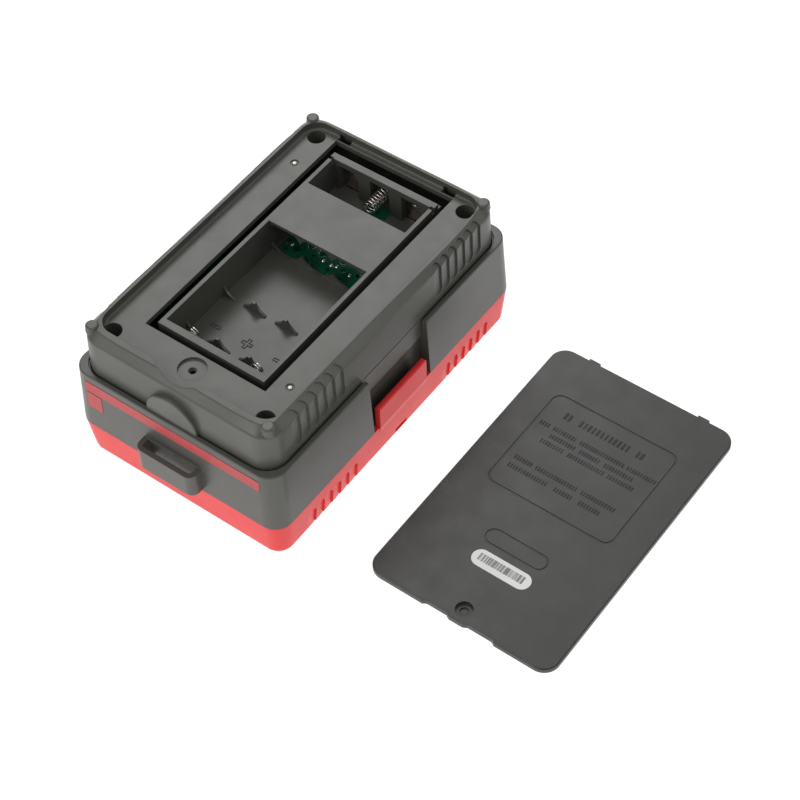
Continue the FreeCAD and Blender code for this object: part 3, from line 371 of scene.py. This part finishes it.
# %% [markdown]
# ## Print, paper and clear plastics
#
# - The red stripe is screen-printed ink: thin, with a slight orange peel.
# - The door's label is paper under a clear film.
# - The display window, the fuse and the lamps' lenses are clear.  Light has to pass through them,
#   which the shader calls transmission.
# - The display itself is a smooth greenish grey film, and the ink's recipe serves for it too.

# %% Inks, paper, clear window, display glass and lamp
def printed(name, colour, gloss, peel=420.0):
    material, g, shader = new_material(name)
    cloud = remap(g, noise(g, 60.0, 3.0), 0.35, 0.65, 0.0, 1.0)
    g.wire(mix_colours(g, cloud, shade(colour, 0.95), colour), shader.inputs["Base Color"])
    patchy = remap(g, noise(g, 500.0), 0.3, 0.7, gloss - 0.05, gloss + 0.07)
    g.wire(patchy, shader.inputs["Roughness"])
    bump = g.add("ShaderNodeBump", {"Strength": 0.12, "Distance": mm(0.03)})
    g.wire(noise(g, peel, 2.0), bump.inputs["Height"])
    g.wire(bump.outputs["Normal"], shader.inputs["Normal"])
    return material


def clear(name, colour, ior, gloss):
    material, g, shader = new_material(name)
    shader.inputs["Base Color"].default_value = colour
    shader.inputs["Transmission Weight"].default_value = 0.9
    shader.inputs["IOR"].default_value = ior
    patchy = remap(g, noise(g, 200.0, 3.0), 0.35, 0.7, gloss, gloss + 0.05)
    g.wire(patchy, shader.inputs["Roughness"])
    return material


stripe_red = printed("printed red stripe", (0.57, 0.055, 0.057, 1.0), 0.42)
white_mark = printed("white label paper", (0.93, 0.93, 0.92, 1.0), 0.36)
ink_black = printed("black ink", (0.018, 0.018, 0.018, 1.0), 0.5)
clear_window = clear("clear window", (0.88, 0.92, 0.92, 1.0), 1.49, 0.03)
fuse_glass = clear("fuse glass", (0.90, 0.93, 0.93, 1.0), 1.5, 0.02)
lcd_grey = printed("display glass", (0.30, 0.34, 0.27, 1.0), 0.14, peel=60.0)
lamp_amber = clear("amber lens", (0.95, 0.42, 0.05, 1.0), 1.5, 0.08)
print("print and clear finishes ready")

# %% [markdown]
# ## Giving each CAD node its finish
#
# Each node already has a material slot.  Its mesh is never touched: we only put our material in the
# slot.  The table below goes from the record's slot name to the finish made for it.  The contact
# plates and the two studs share the steel slot, but get their own shades of nickel.

# %% Assign the finishes
finish_for_slot = {
    "cover_red": cover_red, "case_grey": case_grey, "tray_grey": tray_grey, "door_grey": door_grey,
    "stripe_red": stripe_red, "steel": steel, "brass": brass, "solder": solder,
    "board_green": board_green, "black_plastic": black_plastic, "clear_window": clear_window,
    "lcd_grey": lcd_grey, "rubber_grey": rubber_grey, "knob_grey": knob_grey,
    "white_mark": white_mark, "key_grey": key_grey, "test_red": test_red,
    "lamp_amber": lamp_amber, "fuse_glass": fuse_glass,
}
finish_for_node = {row["node"]: finish_for_slot[row["material_slot"]]
                   for row in frame["record"]["subparts"]}
for name in nodes:
    if name.startswith("contact_plate"):
        finish_for_node[name] = contact_metal
finish_for_node["plate_studs"] = stud_metal
for name, part in nodes.items():
    part.data.materials.clear()
    part.data.materials.append(finish_for_node[name])
print("finishes on", len(finish_for_node), "nodes")

# %% [markdown]
# ## Geometry Nodes: a tree that makes repeated things
#
# Barcode bars, printed ticks, ribs and coils all repeat or follow a path.  One could place each by
# hand or loop in Python.  Geometry Nodes does it as a tree with named inputs, so a size can be
# changed later without touching the tree.
#
# `run_tree` puts a tree on an empty mesh as a modifier, sets its inputs, asks Blender for the
# result and stores that as a plain mesh.  Inputs are set by the socket's identifier, because two
# sockets may share a name.

# %% Helpers for geometry trees
def new_object(name, data):
    """Wrap a mesh, a lamp or a camera in an object and put it in the scene."""
    made = bpy.data.objects.new(name, data)
    bpy.context.scene.collection.objects.link(made)
    return made


def new_tree(name, inputs):
    """A geometry tree with named inputs, each given as (name, kind, default)."""
    tree = bpy.data.node_groups.new(name, "GeometryNodeTree")
    for label, kind, default in inputs:
        socket = tree.interface.new_socket(label, in_out="INPUT", socket_type=kind)
        if default is not None:
            socket.default_value = default
    tree.interface.new_socket("Geometry", in_out="OUTPUT", socket_type="NodeSocketGeometry")
    g = Graph(tree)
    return tree, g, g.add("NodeGroupInput"), g.add("NodeGroupOutput")


def close_tree(g, geometry, source, out):
    """Every tree ends the same way: real geometry, then its material."""
    real = g.add("GeometryNodeRealizeInstances")
    coat = g.add("GeometryNodeSetMaterial")
    g.wire(geometry, real.inputs["Geometry"])
    g.wire(real.outputs["Geometry"], coat.inputs["Geometry"])
    g.wire(source.outputs["Material"], coat.inputs["Material"])
    g.wire(coat.outputs["Geometry"], out.inputs["Geometry"])


def run_tree(tree, name, values):
    """Evaluate the tree once and return a new object with the result as its mesh."""
    holder = new_object(name + "_holder", bpy.data.meshes.new(name + "_holder"))
    modifier = holder.modifiers.new("tree", "NODES")
    modifier.node_group = tree
    for item in tree.interface.items_tree:
        if item.item_type == "SOCKET" and item.in_out == "INPUT" and item.name in values:
            modifier[item.identifier] = values[item.name]
    ready = holder.evaluated_get(bpy.context.evaluated_depsgraph_get())
    mesh = bpy.data.meshes.new_from_object(ready)
    holder.modifiers.clear()
    bpy.data.objects.remove(holder)
    mesh.name = name
    return new_object(name, mesh)


def join(name, pieces):
    """Merge several plain pieces into one mesh object."""
    whole = bmesh.new()
    for piece in pieces:
        whole.from_mesh(piece.data)
    mesh = bpy.data.meshes.new(name)
    whole.to_mesh(mesh)
    whole.free()
    for material in pieces[0].data.materials:
        mesh.materials.append(material)
    for piece in pieces:
        bpy.data.objects.remove(piece)
    return new_object(name, mesh)


print("tree helpers ready")

# %% [markdown]
# ## Coil springs
#
# Three of the six contacts are coil springs.  The wire is round, it winds at an even pitch, and the
# last turn lies almost flat so that it does not dig into the cell.  It could be modelled as a curve
# with a bevel; here a tree sweeps a circle along a spiral, because then turns, radius and wire are
# plain inputs and the three springs share one recipe.
#
# The spiral comes out standing along Z.  Turning it by 90 degrees about X lays it along Y, pointing
# into the compartment.

# %% The spring tree
def spring_tree():
    tree, g, source, out = new_tree("coil spring", [
        ("Turns", "NodeSocketFloat", 8.0), ("Start radius", "NodeSocketFloat", mm(2.4)),
        ("End radius", "NodeSocketFloat", mm(2.4)), ("Length", "NodeSocketFloat", mm(12.0)),
        ("Wire radius", "NodeSocketFloat", mm(0.4)), ("Turn", "NodeSocketRotation", None),
        ("Place", "NodeSocketVector", None), ("Material", "NodeSocketMaterial", None)])
    spiral = g.add("GeometryNodeCurveSpiral", {"Resolution": 28})
    g.wire(source.outputs["Turns"], spiral.inputs["Rotations"])
    g.wire(source.outputs["Start radius"], spiral.inputs["Start Radius"])
    g.wire(source.outputs["End radius"], spiral.inputs["End Radius"])
    g.wire(source.outputs["Length"], spiral.inputs["Height"])
    wire = g.add("GeometryNodeCurvePrimitiveCircle", {"Resolution": 10})
    g.wire(source.outputs["Wire radius"], wire.inputs["Radius"])
    sweep = g.add("GeometryNodeCurveToMesh", {"Fill Caps": True})
    g.wire(spiral.outputs["Curve"], sweep.inputs["Curve"])
    g.wire(wire.outputs["Curve"], sweep.inputs["Profile Curve"])
    smooth = g.add("GeometryNodeSetShadeSmooth")
    g.wire(sweep.outputs["Mesh"], smooth.inputs["Geometry"])
    lay = g.add("GeometryNodeTransform")
    g.wire(smooth.outputs["Geometry"], lay.inputs["Geometry"])
    g.wire(source.outputs["Turn"], lay.inputs["Rotation"])
    g.wire(source.outputs["Place"], lay.inputs["Translation"])
    close_tree(g, lay.outputs["Geometry"], source, out)
    return tree


springs = spring_tree()
print("spring tree has", len(springs.nodes), "nodes")

# %% [markdown]
# Each spring starts on its wall and takes its room from the CAD spring's box, which it replaces.
# The near ones point to +Y and the far one to -Y.  A closed turn at each end, made as a very short
# spiral of its own, is what makes a coil look like a real compression spring.  The open turns
# narrow a little towards the cell.

# %% Make the three springs
wire_radius = mm(0.34)
open_turns = {1: 2.75, -1: 6.25}  # by direction: the far spring is the long one
foot_turns = 1.25
tip_turns = 0.75
narrowing = 0.94  # of the radius, at the end of the open turns
tip_narrowing = 0.85


def make_spring(node, direction):
    low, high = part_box(node)
    wire = wire_radius
    radius = (high.x - low.x) / 2 - wire
    middle = (low + high) / 2
    wall = low.y if direction > 0 else high.y
    length = (high.y - low.y) - 2 * wire
    turn = (math.radians(-90.0 * direction), 0.0, 0.0)
    closed = 2 * wire
    narrow = radius * narrowing
    runs = [  # turns, first radius, last radius, distance from the foot, length
        (foot_turns, radius, radius, 0.0, closed),
        (open_turns[direction], radius, narrow, closed, length - 2 * closed),
        (tip_turns, narrow, radius * tip_narrowing, length - closed, closed)]
    made = []
    for turns, start, end, offset, run_length in runs:
        place = (middle.x, wall + direction * (wire + offset), middle.z)
        values = {"Turns": turns, "Start radius": start, "End radius": end, "Length": run_length,
                  "Wire radius": wire, "Turn": turn, "Place": place, "Material": steel}
        made.append(run_tree(springs, node + "_run", values))
    spring = join("spring_" + node.replace("contact_spring_", ""), made)
    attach(spring, "case")
    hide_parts(node)
    print(spring.name, "radius", round(radius * 1000, 2), "mm, length",
          round(length * 1000, 1), "mm")


make_spring("contact_spring_near_left", 1)
make_spring("contact_spring_near_right", 1)
make_spring("contact_spring_far_middle", -1)

# %% [markdown]
# ## Bars in a row
#
# A barcode, a row of moulded dashes and the ticks round a dial are one idea: a box repeated along a
# line or a circle.  This tree lays boxes on a straight line and varies their width with a seeded
# random value, from the thinnest to the full width.  With a fixed seed the result never changes.

# %% The bar row tree
def bar_row_tree():
    tree, g, source, out = new_tree("bar row", [
        ("Count", "NodeSocketInt", 10), ("Start", "NodeSocketVector", None),
        ("Step", "NodeSocketVector", None), ("Bar", "NodeSocketVector", None),
        ("Thinnest", "NodeSocketFloat", 0.4), ("Seed", "NodeSocketInt", 1),
        ("Material", "NodeSocketMaterial", None)])
    line = g.add("GeometryNodeMeshLine", mode="OFFSET")
    g.wire(source.outputs["Count"], line.inputs["Count"])
    g.wire(source.outputs["Start"], line.inputs["Start Location"])
    g.wire(source.outputs["Step"], line.inputs["Offset"])
    bar = g.add("GeometryNodeMeshCube")
    g.wire(source.outputs["Bar"], bar.inputs["Size"])
    width = g.add("FunctionNodeRandomValue", data_type="FLOAT")
    g.wire(source.outputs["Thinnest"], width.inputs[2])
    width.inputs[3].default_value = 1.0
    g.wire(source.outputs["Seed"], width.inputs["Seed"])
    scale = g.add("ShaderNodeCombineXYZ", {"Y": 1.0, "Z": 1.0})
    g.wire(width.outputs[1], scale.inputs["X"])
    copies = g.add("GeometryNodeInstanceOnPoints")
    g.wire(line.outputs["Mesh"], copies.inputs["Points"])
    g.wire(bar.outputs["Mesh"], copies.inputs["Instance"])
    g.wire(scale.outputs["Vector"], copies.inputs["Scale"])
    close_tree(g, copies.outputs["Instances"], source, out)
    return tree


bar_rows = bar_row_tree()
print("bar row tree has", len(bar_rows.nodes), "nodes")

# %% [markdown]
# ## The label's barcode
#
# The white label carries a barcode.  Its stripes stand for nothing: they are bars of random width,
# printed a little above the label's middle and set in from its round ends.

# %% Print the barcode
label_low, label_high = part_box("door_label")
label_middle = centre("door_label")
code_margin = mm(6.0)  # both ends together
code_rise = mm(0.4)
code_count = 46
code_height = mm(3.6)
code_width = 0.8  # widest bar, as a share of the step
ink_lift = mm(0.01)
ink_thickness = mm(0.03)
code_length = (label_high.x - label_low.x) - code_margin
code_step = code_length / code_count
code_start = (label_middle.x - code_length / 2, label_middle.y + code_rise,
              label_high.z + ink_lift)
barcode = run_tree(bar_rows, "label_barcode", {
    "Count": code_count, "Start": code_start, "Step": (code_step, 0.0, 0.0),
    "Bar": (code_step * code_width, code_height, ink_thickness),
    "Thinnest": 0.2, "Seed": 7, "Material": ink_black})
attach(barcode, "door")
print("barcode:", code_count, "bars,", round(code_length * 1000, 1), "mm long")

# %% [markdown]
# ## Moulded dashes on the door
#
# Inside the sunk frame the door carries raised marks in rows.  They are plain upright dashes here,
# with no letters: a taller row on top, three rows under it, and two more below a gap.  Each row is
# broken into groups, and each group is one run of the bar tree with its own seed.  The dashes are
# coloured darker than the door.

# %% Mould the dashes
# The dashes are coloured darker than the door; their edge factor of 2.0 paints a pale highlight
# along their edges, with a little wear.
dash_black = moulded("door dashes, darker", (0.012, 0.012, 0.012, 1.0), gloss=0.50,
                     grain=1700.0, edge_wear_and_highlight=2.0, edge=0.1)
door_middle = centre("battery_door")
door_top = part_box("battery_door")[1].z
small_dash = 2.1
dash_rows = [  # middle height above the door's centre, dash height, then each group's two ends (mm)
    (37.6, 3.4, ((-20.0, -16.6), (-12.6, 11.6), (14.8, 18.4))),
    (29.3, small_dash, ((-27.0, -22.4), (-20.4, -9.4), (-7.4, 13.2), (15.2, 28.5))),
    (25.3, small_dash, ((-19.6, -7.4), (-5.2, 4.6), (6.8, 20.3))),
    (21.3, small_dash, ((-21.5, -10.2), (-8.2, 8.6), (10.8, 23.0))),
    (8.4, small_dash, ((-25.4, -17.2), (-15.2, 4.4), (6.6, 22.8))),
    (3.6, small_dash, ((-25.4, -7.4), (-3.2, 5.4), (8.6, 17.6)))]
dash_pitch = 0.60  # of its height
dash_width = 0.62  # of the pitch
dash_proud = mm(0.24)
first_dash_seed = 3
dashes = []
for up, tall, groups in dash_rows:
    step = tall * dash_pitch
    for left, right in groups:
        dashes.append(run_tree(bar_rows, "dash_group", {
            "Count": int((right - left) / step) + 1,
            "Start": (door_middle.x + mm(left), door_middle.y + mm(up), door_top),
            "Step": (mm(step), 0.0, 0.0),
            "Bar": (mm(step * dash_width), mm(tall), dash_proud),
            "Thinnest": 0.6, "Seed": len(dashes) + first_dash_seed, "Material": dash_black}))
door_dashes = join("door_dashes", dashes)
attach(door_dashes, "door")
print("dashes:", len(dash_rows), "rows,", len(door_dashes.data.polygons) // 6, "dashes")

# %% [markdown]
# ## The dial's printed ticks
#
# On the hidden front panel a ring of ticks surrounds the range knob.  Repeating on a circle needs a
# second tree: a circle of points, one box per point, each turned to look outwards.  The ticks cover
# only the arc that the knob's pointer can reach, so the circle is an arc with open ends.

# %% The tick ring tree and the ring itself
def tick_ring_tree():
    tree, g, source, out = new_tree("tick ring", [
        ("Count", "NodeSocketInt", 11), ("Radius", "NodeSocketFloat", mm(19.5)),
        ("Start angle", "NodeSocketFloat", 0.0), ("Sweep angle", "NodeSocketFloat", 3.0),
        ("Tick", "NodeSocketVector", None), ("Place", "NodeSocketVector", None),
        ("Material", "NodeSocketMaterial", None)])
    arc = g.add("GeometryNodeCurveArc", mode="RADIUS")
    g.wire(source.outputs["Count"], arc.inputs["Resolution"])
    g.wire(source.outputs["Radius"], arc.inputs["Radius"])
    g.wire(source.outputs["Start angle"], arc.inputs["Start Angle"])
    g.wire(source.outputs["Sweep angle"], arc.inputs["Sweep Angle"])
    points = g.add("GeometryNodeCurveToPoints", mode="EVALUATED")
    g.wire(arc.outputs["Curve"], points.inputs["Curve"])
    tick = g.add("GeometryNodeMeshCube")
    g.wire(source.outputs["Tick"], tick.inputs["Size"])
    copies = g.add("GeometryNodeInstanceOnPoints")
    g.wire(points.outputs["Points"], copies.inputs["Points"])
    g.wire(tick.outputs["Mesh"], copies.inputs["Instance"])
    turn = g.add("FunctionNodeAlignRotationToVector", axis="X")
    spot = g.add("GeometryNodeInputPosition")
    g.wire(spot.outputs["Position"], turn.inputs["Vector"])
    g.wire(turn.outputs["Rotation"], copies.inputs["Rotation"])
    shift = g.add("GeometryNodeTransform")
    g.wire(copies.outputs["Instances"], shift.inputs["Geometry"])
    g.wire(source.outputs["Place"], shift.inputs["Translation"])
    close_tree(g, shift.outputs["Geometry"], source, out)
    return tree


knob_middle = centre("range_knob")
panel_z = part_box("display_window")[0].z
tick_drop = mm(0.03)  # below the window's face
tick_size = (mm(2.6), mm(0.6), mm(0.04))
ticks = run_tree(tick_ring_tree(), "dial_ticks", {
    "Count": 11, "Radius": mm(20.2), "Start angle": math.radians(-60.0),
    "Sweep angle": math.radians(150.0), "Tick": tick_size,
    "Place": (knob_middle.x, knob_middle.y, panel_z - tick_drop), "Material": white_mark})
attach(ticks, "case")
print("dial ticks:", len(ticks.data.polygons) // 6)

# %% [markdown]
# ## A printed border on the display window
#
# Display windows are printed black round the edge, to hide the glue and the edge of the display.
# The print is a flat frame with round corners, and lies a hair in front of the window.  Its outer
# and inner outlines are drawn with bmesh at two heights and joined by strips of faces.

# %% The window border
def rounded_loop(middle, width, length, corner, z, steps=8):
    """Points of a rectangle with round corners, counter-clockwise seen from +Z."""
    points = []
    for quarter, (sx, sy) in enumerate(((1, 1), (-1, 1), (-1, -1), (1, -1))):
        cx = middle.x + sx * (width / 2 - corner)
        cy = middle.y + sy * (length / 2 - corner)
        for step in range(steps + 1):
            angle = math.radians(90.0 * (quarter + step / steps))
            points.append(Vector((cx + corner * math.cos(angle), cy + corner * math.sin(angle), z)))
    return points


def band(shape, first, second):
    """Faces all the way round between two rings with the same number of corners."""
    count = len(first)
    for i in range(count):
        j = (i + 1) % count
        shape.faces.new((first[i], first[j], second[j], second[i]))


def finish_shape(name, shape, material):
    """Turn a drawn shape into a mesh object with all its faces looking outwards."""
    bmesh.ops.recalc_face_normals(shape, faces=shape.faces)
    mesh = bpy.data.meshes.new(name)
    shape.to_mesh(mesh)
    shape.free()
    mesh.materials.append(material)
    return new_object(name, mesh)


def flat_frame(name, middle, outer, inner, z_low, z_high, material):
    """Closed frame between two rounded outlines; outer and inner are (width, length, corner)."""
    shape = bmesh.new()
    loops = [[shape.verts.new(p) for p in rounded_loop(middle, *size, z)]
             for size, z in ((outer, z_low), (inner, z_low), (inner, z_high), (outer, z_high))]
    for first, second in zip(loops, loops[1:] + loops[:1]):
        band(shape, first, second)
    return finish_shape(name, shape, material)


window_low, window_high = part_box("display_window")
window_size = window_high - window_low
border_outer_margin, border_outer_corner = mm(0.6), mm(2.7)
border_inner_margin, border_inner_corner = mm(8.0), mm(1.5)
border_low, border_high = window_low.z - mm(0.05), window_low.z - mm(0.01)
border_outer = (window_size.x - border_outer_margin, window_size.y - border_outer_margin,
                border_outer_corner)
border_inner = (window_size.x - border_inner_margin, window_size.y - border_inner_margin,
                border_inner_corner)
border = flat_frame("window_border", centre("display_window"), border_outer, border_inner,
                    border_low, border_high, ink_black)
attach(border, "case")
print("window border:", len(border.data.polygons), "faces")

# %% [markdown]
# ## Arrow marks on the keys
#
# The three keys carry simple printed marks: a bar on the middle one and a triangle on each side
# one.  They are thin prisms made from a few corner points, just proud of the key caps.

# %% Key marks
def thin_prism(name, corners, z, thickness, material, body):
    shape = bmesh.new()
    low = [shape.verts.new((x, y, z - thickness)) for x, y in corners]
    high = [shape.verts.new((x, y, z)) for x, y in corners]
    shape.faces.new(low)
    shape.faces.new(high)
    band(shape, low, high)
    piece = finish_shape(name, shape, material)
    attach(piece, body)


mark_thickness = mm(0.04)
mark_sunk = mm(0.01)  # into the key cap, whose outer face looks down
arrow_half_length, arrow_half_width = mm(2.0), mm(1.8)
bar_half_length, bar_half_width = mm(2.4), mm(0.5)
for side, direction in (("left", -1), ("right", 1)):
    spot = centre("key_" + side)
    cap_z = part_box("key_" + side)[0].z
    tip = direction * arrow_half_length
    corners = [(spot.x + tip, spot.y), (spot.x - tip, spot.y + arrow_half_width),
               (spot.x - tip, spot.y - arrow_half_width)]
    thin_prism("mark_" + side, corners, cap_z + mark_sunk, mark_thickness, white_mark,
               "key_" + side)
spot = centre("key_middle")
cap_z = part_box("key_middle")[0].z
bar = [(spot.x + across * bar_half_length, spot.y + along * bar_half_width)
       for across, along in ((-1, -1), (1, -1), (1, 1), (-1, 1))]
thin_prism("mark_middle", bar, cap_z + mark_sunk, mark_thickness, white_mark, "key_middle")
print("three key marks")

# %% [markdown]
# ## Floor
#
# A plain pale floor lets the object's own colours be read.  It is one large square, a hair below
# the object's lowest point, and it is marked as stage so that nobody takes it for a part.  It
# glows like a light table: that thins the shadows and throws light up on to the red sides.

# %% Floor
floor_cloud_scale = 3.0
darkest_grey, palest_grey = 0.24, 0.26
floor_glow = 0.98


def floor_material():
    material, g, shader = new_material("pale studio floor")
    cloud = remap(g, noise(g, floor_cloud_scale), 0.3, 0.7, darkest_grey, palest_grey)
    grey = g.add("ShaderNodeCombineColor")
    for channel in ("Red", "Green", "Blue"):
        g.wire(cloud, grey.inputs[channel])
    g.wire(grey.outputs["Color"], shader.inputs["Base Color"])
    shader.inputs["Roughness"].default_value = 0.9
    shader.inputs["Specular IOR Level"].default_value = 0.1
    shader.inputs["Emission Color"].default_value = (1.0, 1.0, 1.0, 1.0)
    shader.inputs["Emission Strength"].default_value = floor_glow
    return material


floor_half = 3.0
floor_z = -mm(0.05)
floor_corners = [(-floor_half, -floor_half, floor_z), (floor_half, -floor_half, floor_z),
                 (floor_half, floor_half, floor_z), (-floor_half, floor_half, floor_z)]
floor_mesh = bpy.data.meshes.new("studio_floor")
floor_mesh.from_pydata(floor_corners, [], [(0, 1, 2, 3)])
floor_mesh.materials.append(floor_material())
studio_floor = new_object("studio_floor", floor_mesh)
studio_floor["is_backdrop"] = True
print("floor", 2 * floor_half, "m square")

# %% [markdown]
# ## Light
#
# The set is a small white tent.  Its floor and walls glow evenly, and soft lamps add direction:
#
# - a softbox high behind the object, where its reflection meets the camera, lays a broad pale sheen
#   over every level face and leaves the upright ones alone;
# - a softbox on the near side lights the near end and glints on the contacts in their pockets;
# - a small one far to the right draws thin highlights along the edges that face up and right;
# - a weak one overhead opens up the deep places.
#
# The right side gets least, so that the two sides of the case separate.  The plain "Standard" view
# is used, so that a white floor comes out white.

# %% Surroundings and lamps
tent_glow = 0.30
world = bpy.data.worlds.new("white tent")
bpy.context.scene.world = world
world.use_nodes = True
tent = world.node_tree.nodes["Background"]
tent.inputs["Color"].default_value = (1.0, 1.0, 1.0, 1.0)
tent.inputs["Strength"].default_value = tent_glow

studio_target = Vector((0.03, 0.0, 0.03))  # between the case and the door


def soft_lamp(name, place, size, power):
    """A square softbox aimed at the object: size in metres, power in watts."""
    light = bpy.data.lights.new(name, "AREA")
    light.shape = "SQUARE"
    light.size = size
    light.energy = power
    lamp = new_object(name, light)
    lamp.location = place
    lamp.rotation_euler = (studio_target - Vector(place)).to_track_quat("-Z", "Y").to_euler()
    return lamp


lamps = [soft_lamp("far softbox", (-0.80, 0.92, 1.35), 0.9, 9.5),
         soft_lamp("near softbox", (-0.62, -1.45, 1.00), 0.8, 7.2),
         soft_lamp("far right softbox", (1.25, 0.90, 0.95), 0.5, 1.9),
         soft_lamp("overhead softbox", (0.35, -0.35, 1.70), 1.1, 3.6)]
bpy.context.scene.view_settings.view_transform = "Standard"
bpy.context.scene.view_settings.look = "None"
print("lamps:", [lamp.name for lamp in lamps])

# %% [markdown]
# ## Camera
#
# A long lens from above, over the near right corner, as for a catalogue picture.  The camera's
# place and its three angles are given directly: how far round, how far up, and a small roll.  Its
# matrix is built from the three directions to the right, up and back.

# %% Camera
camera_place = Vector((0.383453, -0.419488, 0.687331))
azimuth = math.radians(38.365)
elevation = math.radians(51.226)
roll = math.radians(-2.72)

backward = Vector((math.sin(azimuth) * math.cos(elevation),
                   -math.cos(azimuth) * math.cos(elevation), math.sin(elevation)))
level = Vector((math.cos(azimuth), math.sin(azimuth), 0.0))
upward = backward.cross(level)
right = math.cos(roll) * level + math.sin(roll) * upward
up = -math.sin(roll) * level + math.cos(roll) * upward

lens = bpy.data.cameras.new("catalogue camera")
lens.lens = 94.86
lens.sensor_width = 36.0
lens.sensor_fit = "HORIZONTAL"
lens.clip_start = 0.05
lens.clip_end = 20.0
camera = new_object("catalogue camera", lens)
turn = Matrix((right, up, backward)).transposed().to_4x4()
camera.matrix_world = Matrix.Translation(camera_place) @ turn
bpy.context.scene.camera = camera
print("camera", round(camera_place.length, 3), "m from the object's foot")

# %% [markdown]
# ## Last: sizes
#
# The dressed object's box is set beside the CAD's box, and the growth in each direction is printed.

# %% Sizes
seen_low, seen_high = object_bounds()
growth = (seen_high - seen_low) - (cad_high - cad_low)
print("grown by", [round(step * 1000, 3) for step in growth], "mm")
